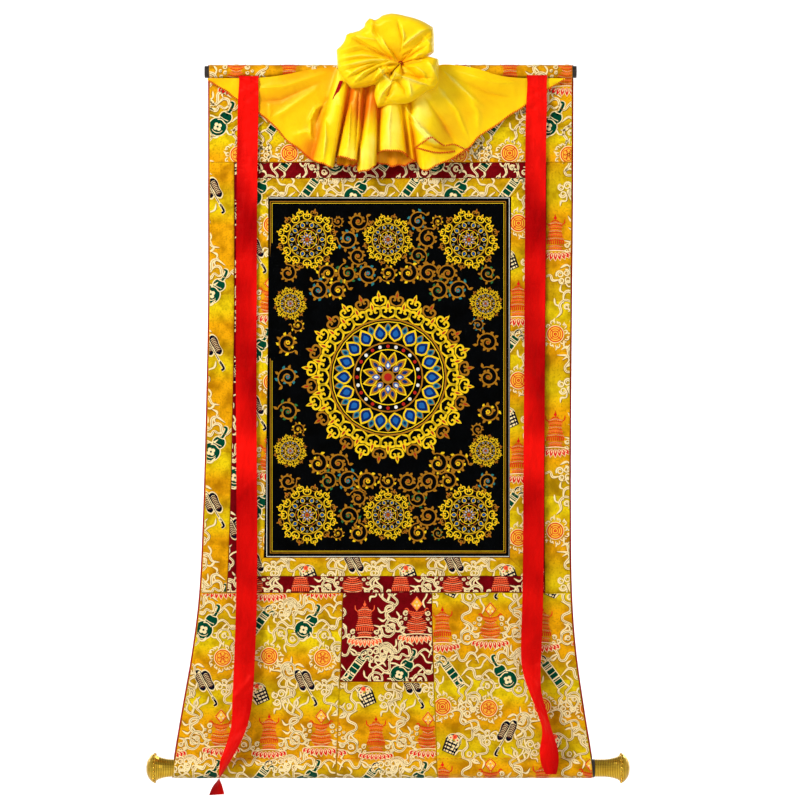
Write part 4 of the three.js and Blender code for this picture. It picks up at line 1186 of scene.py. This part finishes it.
def border_corners():
    """Each border strip: name, node, outer corners, the way inward, and its outline for the figures."""
    o, i, ot, it, ib, ob = BORDER_SIDE, PICTURE_SIDE, BORDER_TOP, PICTURE_TOP, PICTURE_BOTTOM, BORDER_BOTTOM
    return [
        ("border_cloth_top", "border_top", (-o, ot), (o, ot), (0, 1),
         [(-o, ot), (o, ot), (i, it), (-i, it)]),
        ("border_cloth_bottom", "border_bottom", (-o, ob), (o, ob), (0, -1),
         [(-i, ib), (i, ib), (o, ob), (-o, ob)]),
        ("border_cloth_left", "border_left", (-o, ot), (-o, ob), (1, 0),
         [(-o, ot), (-i, it), (-i, ib), (-o, ob)]),
        ("border_cloth_right", "border_right", (o, ot), (o, ob), (-1, 0),
         [(i, it), (o, ot), (o, ob), (i, ib)]),
    ]


def ribbon(side):
    """A satin ribbon that hangs from the top and twists towards its free end."""
    rows = RIBBONS[side]
    drops = np.arange(rows[0, 0], rows[-1, 0], 2.5)
    x, out, width, turn = (spline(drops, rows[:, 0], rows[:, k]) for k in range(1, 5))
    across = np.linspace(-0.5, 0.5, 13)
    a, drop = np.meshgrid(across, drops)
    turn = np.radians(turn)[:, None]
    px = x[:, None] + width[:, None] * np.cos(turn) * a
    lift = out[:, None] + 0.45 * width[:, None] * np.sin(turn) * a
    lift = lift + 0.8 * (1 - (2 * a) ** 2) * np.sin(drop / 47 + len(side))
    shift = 0 if side == "left" else 9
    for at, slant, height, half in RIBBON_FOLDS:
        away = drop - at - shift - slant * 2 * a
        lift = lift + height * np.exp(-(away / half) ** 2)
    points = np.stack([px, -lift, -drop], -1)
    made = piece("satin_ribbon_" + side, points.reshape(-1, 3), lattice(len(drops), len(across)),
                 [finish("satin")], np.stack([a * 26, -drop], -1).reshape(-1, 2))
    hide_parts("ribbon_" + side)
    return made


def near_path(x, drop, path):
    """Each point's distance from a path, and how far along the path it lies, from 0 to 1."""
    best = np.full(x.shape, 1e9)
    share = np.zeros(x.shape)
    path = np.asarray(path, float)
    count = len(path) - 1
    for k, (a, b) in enumerate(zip(path, path[1:])):
        way = b - a
        t = np.clip(((x - a[0]) * way[0] + (drop - a[1]) * way[1]) / (way @ way), 0, 1)
        away = np.hypot(x - a[0] - way[0] * t, drop - a[1] - way[1] * t)
        nearer = away < best
        best = np.where(nearer, away, best)
        share = np.where(nearer, (k + t) / count, share)
    return best, share


def veil_drape():
    """The swag and the pleats: a grid of points, and the painted shade of the silk there, from 0 to 1."""
    columns, rows = 420, 72
    pins = np.arange(len(VEIL_FOLDS), dtype=float)
    s = np.linspace(0, len(VEIL_FOLDS) - 1, columns)
    nx, nd, no, hx, hd, ho = (spline(s, pins, VEIL_FOLDS[:, k]) for k in range(6))
    t = np.linspace(0, 1, rows)[:, None]
    x = nx + (hx - nx) * t
    drop = nd + (hd - nd) * t
    pleat = smoothstep(np.abs(hx + 15), 105, 70)
    out = no + (ho - no) * t ** 0.8 + np.sin(math.pi * t) * (1 + 2.5 * pleat)
    # Painted shade: darker deep in the pleats and paler where their hems come forward, darker over the left
    # of the swag and where the silk is gathered at the tape, with a slow wave of tone across it
    shade = 0.42 + 0.3 * pleat * (1 - smoothstep(ho, 8, 20)) - 0.16 * pleat * smoothstep(ho, 18, 27)
    shade = shade + 0.14 * smoothstep(-x, 40, 110) + 0.1 * np.sin(x / 21 + drop / 17)
    gather = smoothstep(np.abs(x + 30), 34, 12) * (1 - smoothstep(drop, 40, 92))
    shade = shade + 0.5 * gather
    for height, half, *path in VEIL_CREASES:
        away, share = near_path(x, drop, path)
        fade = np.sin(math.pi * np.clip(share, 0.04, 0.96)) ** 0.5
        ridge = 1.7 * height * fade * np.exp(-2 * away / half) * smoothstep(np.abs(x), 166, 146)
        out = out + ridge
        # Painted highlight and shade: paler on each crease's ridge, darker in its valley
        shade = shade - 0.06 * ridge
    out = np.maximum(out, 4) + 1
    # The hem flutes a little between the folds
    out = out + t ** 6 * 0.7 * np.sin(s * 6.0)
    drop = drop + t ** 8 * 0.5 * np.sin(s * 4.0)
    points = np.stack([x, -out, -drop], -1)
    return points, np.clip(shade, 0, 1)


def puff_sheet(start, end, share, crest, base):
    """One puff of the rosette: it leaves the knot, swells, turns over its rim and goes back under.

    u runs round the knot and v from the knot over the rim, which lies at 0.8, to the underside.
    """
    columns, rows = max(40, int((end - start) * 1.3)), 64
    turn = np.linspace(start, end, columns)
    u = (turn - start) / (end - start)
    around = np.where(turn > 365, turn - 360, turn)
    reach = np.interp(around, ROSETTE_RIM[:, 0], ROSETTE_RIM[:, 1]) * share
    v = np.linspace(0, 1.4, rows)[:, None]
    over = np.clip((v - 0.8) / 0.6, 0, 1) * math.pi
    radial = np.where(v < 0.8, v, 0.8 + 0.2 * np.sin(over * 0.9))
    belly = 0.25 + 0.75 * np.sin(math.pi * np.clip(u, 0.02, 0.98)) ** 0.4
    rise = np.sin(math.pi / 2 * np.clip(v / 0.6, 0, 1)) ** 0.9
    front = KNOT[2] + 6 + (crest - KNOT[2] - 6) * rise * belly
    rim = base + (np.take(front, np.searchsorted(v[:, 0], 0.8), axis=0) - base) * (0.5 + 0.5 * np.cos(over))
    out = np.where(v < 0.8, front, rim)
    r = reach * radial + 0.05
    a = np.radians(turn)
    x = KNOT[0] + r * np.cos(a)
    z = KNOT[1] + r * np.sin(a)
    strength = np.clip(1.15 - v, 0, 1) ** 0.5
    # Painted shade: darker near the knot and towards the sides of each puff, where it sinks
    low = (1 - rise * belly) * (v < 0.9)
    shade = 0.32 + 0.4 * low + 0.12 * (1 - belly)
    for height, half, *path in ROSETTE_CREASES:
        away, along = near_path(x, z, path)
        fade = np.sin(math.pi * np.clip(along, 0.06, 0.94)) ** 0.5
        ridge = 1.7 * height * fade * np.exp(-1.8 * away / half) * strength
        out = out + ridge
        # Painted highlight and shade: paler on each crease's ridge, darker in its valley
        shade = shade - 0.05 * ridge
    out = out + 0.9 * np.sin(x * 0.16 + start) * np.sin(z * 0.19 + end) * strength * np.clip(v * 3, 0, 1)
    points = np.stack([x, -out, z], -1)
    return points, np.clip(shade, 0, 1)


def on_drape(drape, path):
    """A path of x and drop laid on the front of the drape."""
    flat = drape.reshape(-1, 3)
    nearest = [flat[np.argmin((flat[:, 0] - x) ** 2 + (flat[:, 2] + drop) ** 2)] for x, drop in path]
    return np.array([(x, near[1] - 0.4, -drop) for (x, drop), near in zip(path, nearest)])


def inner_flap(left, right, top, bottom, out, sag):
    """A fold of the silk that hangs behind the front pleats, seen only under their hem."""
    u = np.linspace(0, 1, 40)
    v = np.linspace(0, 1, 20)[:, None]
    x = left + (right - left) * u + 0 * v
    low = bottom + sag * np.sin(math.pi * u) + 1.2 * np.sin(u * 19)
    drop = top + (low - top) * v
    lift = out + 2.2 * np.sin(u * 14 + 1) + 0 * v
    # Painted shade: the flap is given one deeper tone all over, as it hangs in the pleats' shadow
    return np.stack([x, -lift, -drop], -1), 0.74 + 0 * x


def veil():
    """The yellow silk: a drape over the heading, gathered into a rosette over the rod."""
    sheets = [veil_drape(), inner_flap(-14, 33, 70, 114, 12, 5), inner_flap(-64, -36, 80, 116, 11, 3)]
    sheets += [puff_sheet(*row) for row in PUFFS]
    points, faces, shades, uvs = [], [], [], []
    offset = 0
    for grid, shade in sheets:
        rows, columns = grid.shape[:2]
        points.append(grid.reshape(-1, 3))
        faces.append(lattice(rows, columns, offset))
        shades.append(np.broadcast_to(shade, (rows, columns)).reshape(-1))
        uvs.append(grid[..., (0, 2)].reshape(-1, 2))
        offset += rows * columns
    made = piece("silk_veil", np.vstack(points), np.vstack(faces), [finish("silk")], np.vstack(uvs))
    # Painted shade, per point, that the silk's colour reads
    layer = made.data.attributes.new("fold_shade", "FLOAT", "POINT")
    layer.data.foreach_set("value", np.concatenate(shades).astype(np.float32))
    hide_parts("veil")
    drape = sheets[0][0]
    turned = curve([(34, 97), (45, 91), (54, 86), (62, 91), (70, 95), (82, 93), (92, 97), (101, 101)], per=8)
    lower = curve([(34, 97), (45, 101), (60, 104), (74, 103), (84, 101)], per=8)
    mouth = [on_drape(drape, path) for path in (turned, lower)]
    stitched = overlock("veil_hem_stitches", [grid[-1] for grid, _shade in sheets[:3]] + mouth)
    return made


def overlock(name, paths):
    """Slanted thread loops over a raw edge: each is a small pointed bar."""
    points, faces = [], []
    for path in paths:
        run = np.concatenate([[0], np.cumsum(np.linalg.norm(np.diff(path, axis=0), axis=1))])
        for at in np.arange(1.2, run[-1] - 1.2, 2.4):
            here, ahead = (np.array([np.interp(a, run, path[:, c]) for c in range(3)])
                           for a in (at, at + 1.2))
            ahead = (ahead - here) / np.linalg.norm(ahead - here)
            up = np.array([-ahead[2], 0, ahead[0]]) if ahead[0] > 0 else np.array([ahead[2], 0, -ahead[0]])
            up = up / (np.linalg.norm(up) + 1e-9)
            face = np.array([0, -1, 0])
            long = up * 3.2 + ahead * 1.5
            wide = ahead * 0.95 - up * 0.3
            start = here - up * 0.9 + face * 0.5
            base = len(points)
            points += [start, start + long * 0.5 + wide, start + long, start + long * 0.5 - wide,
                       start + long * 0.5 + face * 0.9, start + long * 0.5 - face * 1.3]
            for i in range(4):
                j = (i + 1) % 4
                faces += [(base + i, base + j, base + 4), (base + j, base + i, base + 5)]
    return piece(name, points, faces, [finish("stitch")], smooth=False)


def sleeve_stitches():
    """The running stitch that closes the roller's sleeve, in red brown thread."""
    points, faces = [], []
    for x in np.arange(-PANEL_SIDE + 4, PANEL_SIDE - 4, 4.6):
        base = len(points)
        ring = [(x, 0.35), (x + 1.4, -0.1), (x + 2.8, 0.35), (x + 1.4, 0.8)]
        low = FRONT.place([q for q, _ in ring], [858.6 + d for _, d in ring], BROCADE / 2 + 0.1)
        top = FRONT.place([x + 1.4], [858.95], BROCADE / 2 + 0.75)
        points += [*low.tolist(), *top.tolist()]
        faces += [(base + i, base + (i + 1) % 4, base + 4) for i in range(4)]
    return piece("roller_sleeve_stitches", points, faces, [finish("stitch")], smooth=False)


def knot_thread():
    """Two turns of red thread that bind the rosette's heart."""
    points, faces = [], []
    count, sides = 44, 6
    for i in range(count):
        a = 4 * math.pi * i / (count - 1)
        for j in range(sides):
            b = 2 * math.pi * j / sides
            r = 2.3 + 0.6 * math.cos(b)
            points.append((KNOT[0] + r * math.cos(a), -KNOT[2] - 10.6 - 1.1 * i / count + 0.6 * math.sin(b),
                           KNOT[1] + r * math.sin(a)))
    for i in range(count - 1):
        for j in range(sides):
            k = (j + 1) % sides
            faces.append((i * sides + j, i * sides + k, (i + 1) * sides + k, (i + 1) * sides + j))
    return piece("knot_thread", points, faces, [finish("lining")])


def finial_beads(side):
    """Two rows of cast beads, round the knob's shoulder and round its end."""
    sign = -1 if side == "left" else 1
    points, faces = [], []
    for at, radius, bead, count in ((291.1, 17.9, 1.5, 22), (297.6, 12.6, 1.3, 16)):
        for k in range(count):
            a = 2 * math.pi * k / count
            base = len(points)
            for i in range(5):
                tilt = math.pi * i / 4
                for j in range(8):
                    spin = 2 * math.pi * j / 8
                    r = radius + bead * math.cos(tilt) * 0.7
                    across = bead * math.sin(tilt)
                    points.append((sign * (at + across * math.cos(spin)),
                                   r * math.sin(a) + across * math.sin(spin) * math.cos(a),
                                   -ROLLER_DROP + r * math.cos(a) - across * math.sin(spin) * math.sin(a)))
            for i in range(4):
                for j in range(8):
                    faces.append((base + 8 * i + j, base + 8 * i + (j + 1) % 8,
                                  base + 8 * i + 8 + (j + 1) % 8, base + 8 * i + 8 + j))
    return piece("knob_beads_" + side, points, faces, [finish("brass")])


# The painting: a pattern of lotus wheels and vines

def petal_ring(d, radius, count, length, width, hues, start=0.0, level=1):
    """Petals round a circle, each with an outline, a body and a heart."""
    for k in range(count):
        a = start + 360 * k / count
        c, s = math.cos(math.radians(a)), math.sin(math.radians(a))
        for grow, hue, step in ((1, hues[0], 0), (0.74, hues[1], 1), (0.4, hues[2], 2)):
            inset = length * (1 - grow) * 0.42
            d.leaf((radius + inset) * c, (radius + inset) * s, length * grow, width * grow, a, hue,
                   min(3, level + step))


def lyre(d, x, y, size, turn, hue):
    """Two curls joined at the foot, with a bud between them."""
    pair = Drawing()
    for side in (-1, 1):
        pair.line(curve([(0, 0), (side * 0.42, 0.2), (side * 0.5, 0.62), (side * 0.2, 0.74),
                         (side * 0.12, 0.48), (side * 0.28, 0.44)]), 0.17, hue, 1, 0.6)
    pair.leaf(0, 0.6, 0.66, 0.3, 90, hue, 1)
    pair.leaf(0, 0.66, 0.4, 0.14, 90, "paint_red", 2)
    d.merge(pair.done(), x, y, turn, size)


def lotus_wheel(r):
    """A wheel of petals, rings and pearls inside rings of curls and buds."""
    d = Drawing()
    big = r > 60
    count = 28 if big else 12
    for k in range(count):
        outer = "yellow" if k % 2 else "ochre"
        for at, size, shift, hue in ((0.8, 0.2, 0, "yellow"), (0.97, 0.17, 0.5, outer)):
            a = 360 * (k + shift) / count
            c, s = math.cos(math.radians(a)), math.sin(math.radians(a))
            lyre(d, r * at * c, r * at * s, r * size * (1 if big else 1.5), a - 90, hue)
    for at, width, hue in ((0.79, 0.022, "ochre"), (0.755, 0.012, "yellow"), (0.47, 0.02, "ochre"),
                           (0.375, 0.014, "yellow")):
        d.band(0, 0, r * at, max(r * width, 0.7), hue, 2)
    petals = 18 if big else 10
    petal_ring(d, r * 0.485, petals, r * 0.26, r * 0.2, ("yellow", "deep_blue", "blue"))
    petal_ring(d, r * 0.6, petals, r * 0.15, r * 0.1, ("ochre", "teal", "deep_blue"), 180 / petals)
    pearls = 24 if big else 12
    for k in range(pearls):
        a = math.radians(360 / pearls * k)
        hue = "white" if k % 2 else "paint_red"
        d.disc(r * 0.42 * math.cos(a), r * 0.42 * math.sin(a), r * 0.024, hue, 2)
    petal_ring(d, r * 0.14, 12 if big else 8, r * 0.22, r * 0.12, ("yellow", "ochre", "deep_blue"), 15)
    petal_ring(d, r * 0.09, 8, r * 0.16, r * 0.1, ("ochre", "blue", "white"), 0)
    d.disc(0, 0, r * 0.09, "ochre", 2)
    d.disc(0, 0, r * 0.055, "paint_red", 3)
    return d.done()


def spiral(hue, leaf_hue):
    """A vine that winds in round a bud, with leaves along its outside. Its radius is 1."""
    d = Drawing()
    t = np.linspace(0, 1, 30)
    a = t * math.radians(560)
    r = 1 - 0.8 * t
    path = np.stack([r * np.cos(a), r * np.sin(a)], 1)
    d.line(path, 0.15, hue, 1, 0.4)
    for k in range(0, 22, 2):
        out = math.degrees(a[k]) + (58 if k % 4 else 20)
        d.leaf(*path[k], 0.46 - 0.008 * k, 0.26, out, leaf_hue if k % 4 else hue, 1)
    for k in range(6):
        d.disc(0.13 * math.cos(k * 1.05), 0.13 * math.sin(k * 1.05), 0.085, leaf_hue, 2)
    d.disc(0, 0, 0.08, "paint_red", 3)
    return d.done()


def painting():
    """The whole painted field, in real millimetres with y up."""
    d = Drawing()
    middle = -(PICTURE_TOP + PICTURE_BOTTOM) / 2
    half_wide, half_high = PICTURE_SIDE, (PICTURE_BOTTOM - PICTURE_TOP) / 2
    for inset, width, hue in ((1.5, 0.8, "white"), (6, 0.9, "ochre"), (8.2, 0.6, "yellow")):
        x, y = half_wide - inset, half_high - inset
        corners = [(-x, middle + y), (x, middle + y), (x, middle - y), (-x, middle - y)]
        for a, b in zip(corners, corners[1:] + corners[:1]):
            d.line([a, ((a[0] + b[0]) / 2, (a[1] + b[1]) / 2), b], width, hue, 1)
    wheels = [(0, 0, 92), *((sx * 101, sy * 172, 31) for sx in (-1, 1) for sy in (-1, 1)),
              (0, 172, 26), (0, -172, 26), (-122, 92, 17), (122, 92, 17), (-122, -92, 17), (122, -92, 17)]
    for x, y, r in wheels:
        d.merge(lotus_wheel(r), x, middle + y)
    kinds = [spiral("ochre", leaves) for leaves in ("yellow", "ochre", "leaf", "teal")]
    # Vines fill the field on a grid of triangles, wherever the wheels leave them room
    step = 25
    for row in range(-9, 10):
        for column in range(-6, 7):
            x = (column + 0.5 * (row % 2)) * step
            y = row * step * 0.866
            if abs(x) > half_wide - 22 or abs(y) > half_high - 21:
                continue
            room = min(math.hypot(x - wx, y - wy) - wr * 1.2 for wx, wy, wr in wheels)
            if room > 7:
                pick = (row * 5 + column * 3) % 7
                d.merge(kinds[(0, 1, 0, 2, 1, 0, 3)[pick]], x, middle + y, 60 * column + 37 * row,
                        min(13.5, room), bool((row + column) % 2))
    return d.done()


# Stage and camera

# A round cove, wider than any camera stands, so that the ground is pale from every side:
# radius and height over the floor, in metres, and the height of its rim over the top rod
COVE = [(0.01, 0), (3.9, 0), (4.3, 0.06), (4.6, 0.25), (4.75, 0.6)]
COVE_TOP = (4.8, 2.4)
SPOKES = 72

# The lights: name, place, what each is aimed at, size, power. Two light the cove behind the scroll
SCROLL_MIDDLE = (0, 0, -0.4)
COVE_BACK = (0, 4.8, -0.7)
LIGHTS = [
    ("key_light", (-1.9, -1.8, 1.2), SCROLL_MIDDLE, 0.9, 78),
    ("fill_light", (1.9, -2.2, 0.1), SCROLL_MIDDLE, 1.6, 10),
    ("left_cove_light", (-2.3, 2.3, 0.5), COVE_BACK, 2.0, 75),
    ("right_cove_light", (2.3, 2.3, 0.5), COVE_BACK, 2.0, 75),
    ("back_light", (1.6, 2.4, 1.0), SCROLL_MIDDLE, 1.4, 20),
]
SKY_STRENGTH = 0.35

# The camera's sensor in millimetres, and x and z of the frame's middle in metres
SENSOR = 36
FRAME_MIDDLE = (0.015, -0.41)


class ScrollSizes(bpy.types.PropertyGroup):
    """Sizes that a user may change."""

    camera_distance: FloatProperty(
        name="Camera distance", description="From the lens to the scroll", default=3.2, unit="LENGTH")
    floor_drop: FloatProperty(
        name="Floor drop", description="From the top rod down to the floor", default=1.3, unit="LENGTH")


class ScrollColours(bpy.types.PropertyGroup):
    """Colours that a user may change."""

    backdrop: FloatVectorProperty(
        name="Backdrop", description="Colour of the floor and the backdrop", subtype="COLOR", size=4,
        default=(0.82, 0.82, 0.82, 1), min=0, max=1)


class SCROLL_OT_cloths(bpy.types.Operator):
    """Build the lining and the front's brocades"""

    bl_idname = "scroll.cloths"
    bl_label = "Lining and brocades"

    def execute(self, context):
        lining()
        for name, node, cloth, layout, left, right, top, bottom in PANELS:
            cloth_panel(name, node, finish(cloth), layout, left, right, top, bottom)
        for name, node, start, end, inward, _outline in border_corners():
            mitred_strip(name, node, start, end, inward, finish("yellow"))
        cloth_panel("painted_canvas", "picture_cloth", finish("ground"), None, -PICTURE_SIDE, PICTURE_SIDE,
                    PICTURE_TOP, PICTURE_BOTTOM)
        return {"FINISHED"}


class SCROLL_OT_figures(bpy.types.Operator):
    """Weave the figures and clouds into the brocades"""

    bl_idname = "scroll.figures"
    bl_label = "Woven figures"

    def execute(self, context):
        motifs = {kind: maker() for kind, maker in MOTIFS.items()}
        for name, _node, cloth, layout, left, right, top, bottom in PANELS:
            # The outline spreads towards the foot, by less than a fifth
            field = woven_field(layout, left * 1.2, right * 1.2, top, bottom, motifs)
            laid_on(name + "_figures", field, left + SEAM_MARGIN, right - SEAM_MARGIN, top + SEAM_MARGIN,
                    bottom - SEAM_MARGIN, "brocade_" + cloth)
        for name, _node, _start, _end, _inward, outline in border_corners():
            xs, downs = zip(*outline)
            box = (min(xs), max(xs), min(downs), max(downs))
            laid_on(name + "_figures", woven_field("border", *box, motifs), *box, "brocade_yellow", outline)
        return {"FINISHED"}


class SCROLL_OT_painting(bpy.types.Operator):
    """Paint the pattern of lotus wheels and vines on the canvas"""

    bl_idname = "scroll.painting"
    bl_label = "Painting"

    def execute(self, context):
        laid_on("painted_pattern", painting(), -PICTURE_SIDE + 1, PICTURE_SIDE - 1, PICTURE_TOP + 1,
                PICTURE_BOTTOM - 1, "painted_canvas", levels=PAINT_LEVELS)
        return {"FINISHED"}


class SCROLL_OT_ribbons(bpy.types.Operator):
    """Hang the two satin ribbons"""

    bl_idname = "scroll.ribbons"
    bl_label = "Ribbons"

    def execute(self, context):
        for side in RIBBONS:
            ribbon(side)
        return {"FINISHED"}


class SCROLL_OT_veil(bpy.types.Operator):
    """Drape the silk veil and gather its rosette"""

    bl_idname = "scroll.veil"
    bl_label = "Silk veil"

    def execute(self, context):
        veil()
        return {"FINISHED"}


class SCROLL_OT_fittings(bpy.types.Operator):
    """Finish the rods, the knobs and the tape"""

    bl_idname = "scroll.fittings"
    bl_label = "Rods and knobs"

    def execute(self, context):
        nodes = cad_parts
        for name, cloth in (("top_rod", "wood"), ("roller", "wood"), ("knob_left", "brass"),
                            ("knob_right", "brass"), ("gather_tape", "lining")):
            nodes[name].data.materials.clear()
            nodes[name].data.materials.append(finish(cloth))
        for side in ("left", "right"):
            finial_beads(side)
        sleeve_stitches()
        knot_thread()
        return {"FINISHED"}


class SCROLL_OT_stage(bpy.types.Operator):
    """Set up the floor and cove, the lights and the camera"""

    bl_idname = "scroll.stage"
    bl_label = "Stage"

    def execute(self, context):
        sizes = context.scene.scroll_sizes
        link = context.scene.collection.objects.link
        tone = tuple(context.scene.scroll_colours.backdrop)
        paper = surface("matt_paper", {"Base Color": tone, "Roughness": 0.9})[0]
        profile = [(r, rise - sizes.floor_drop) for r, rise in COVE] + [COVE_TOP]
        turns = np.linspace(0, 2 * math.pi, SPOKES + 1)[:-1]
        points = [(r * math.cos(a), r * math.sin(a), z) for r, z in profile for a in turns]
        faces = [(row + j, row + (j + 1) % SPOKES, row + SPOKES + (j + 1) % SPOKES, row + SPOKES + j)
                 for row in range(0, SPOKES * (len(profile) - 1), SPOKES) for j in range(SPOKES)]
        faces.append(tuple(reversed(range(SPOKES))))
        mesh = bpy.data.meshes.new("stage_cove")
        mesh.from_pydata(points, [], faces)
        mesh.polygons.foreach_set("use_smooth", np.full(len(faces), True))
        mesh.materials.append(paper)
        cove = bpy.data.objects.new("stage_cove", mesh)
        link(cove)
        for name, place, aim, size, power in LIGHTS:
            light = bpy.data.lights.new(name, "AREA")
            light.size = size
            light.energy = power
            lamp = bpy.data.objects.new(name, light)
            lamp.location = place
            lamp.visible_camera = False
            lamp.rotation_euler = (Vector(aim) - lamp.location).to_track_quat("-Z", "Y").to_euler()
            link(lamp)
        world = bpy.data.worlds.new("soft_white")
        world.use_nodes = True
        sky = world.node_tree.nodes["Background"]
        sky.inputs["Color"].default_value = (1, 1, 1, 1)
        sky.inputs["Strength"].default_value = SKY_STRENGTH
        context.scene.world = world
        camera = bpy.data.cameras.new("front_camera")
        camera.sensor_width = SENSOR
        # The frame takes in one metre at the scroll
        camera.lens = SENSOR * sizes.camera_distance
        eye = bpy.data.objects.new("front_camera", camera)
        eye.location = (FRAME_MIDDLE[0], -sizes.camera_distance, FRAME_MIDDLE[1])
        eye.rotation_euler = (math.pi / 2, 0, 0)
        link(eye)
        context.scene.camera = eye
        context.scene.view_settings.view_transform = "Standard"
        return {"FINISHED"}


class SCROLL_PT_panel(bpy.types.Panel):
    """The scroll's pieces, in the order they are made"""

    bl_idname = "SCROLL_PT_panel"
    bl_label = "Hanging scroll"
    bl_space_type = "VIEW_3D"
    bl_region_type = "UI"
    bl_category = "Scroll"

    def draw(self, context):
        for maker in OPERATORS:
            self.layout.operator(maker.bl_idname)


OPERATORS = (SCROLL_OT_cloths, SCROLL_OT_figures, SCROLL_OT_painting, SCROLL_OT_ribbons, SCROLL_OT_veil,
             SCROLL_OT_fittings, SCROLL_OT_stage)
CLASSES = (ScrollSizes, ScrollColours, *OPERATORS, SCROLL_PT_panel)


def register():
    for cls in CLASSES:
        bpy.utils.register_class(cls)
    bpy.types.Scene.scroll_sizes = PointerProperty(type=ScrollSizes)
    bpy.types.Scene.scroll_colours = PointerProperty(type=ScrollColours)


def unregister():
    del bpy.types.Scene.scroll_sizes
    del bpy.types.Scene.scroll_colours
    for cls in reversed(CLASSES):
        bpy.utils.unregister_class(cls)


def main():
    register()
    bpy.ops.scroll.cloths()
    bpy.ops.scroll.figures()
    bpy.ops.scroll.painting()
    bpy.ops.scroll.ribbons()
    bpy.ops.scroll.veil()
    bpy.ops.scroll.fittings()
    bpy.ops.scroll.stage()


if __name__ == "__main__":
    main()
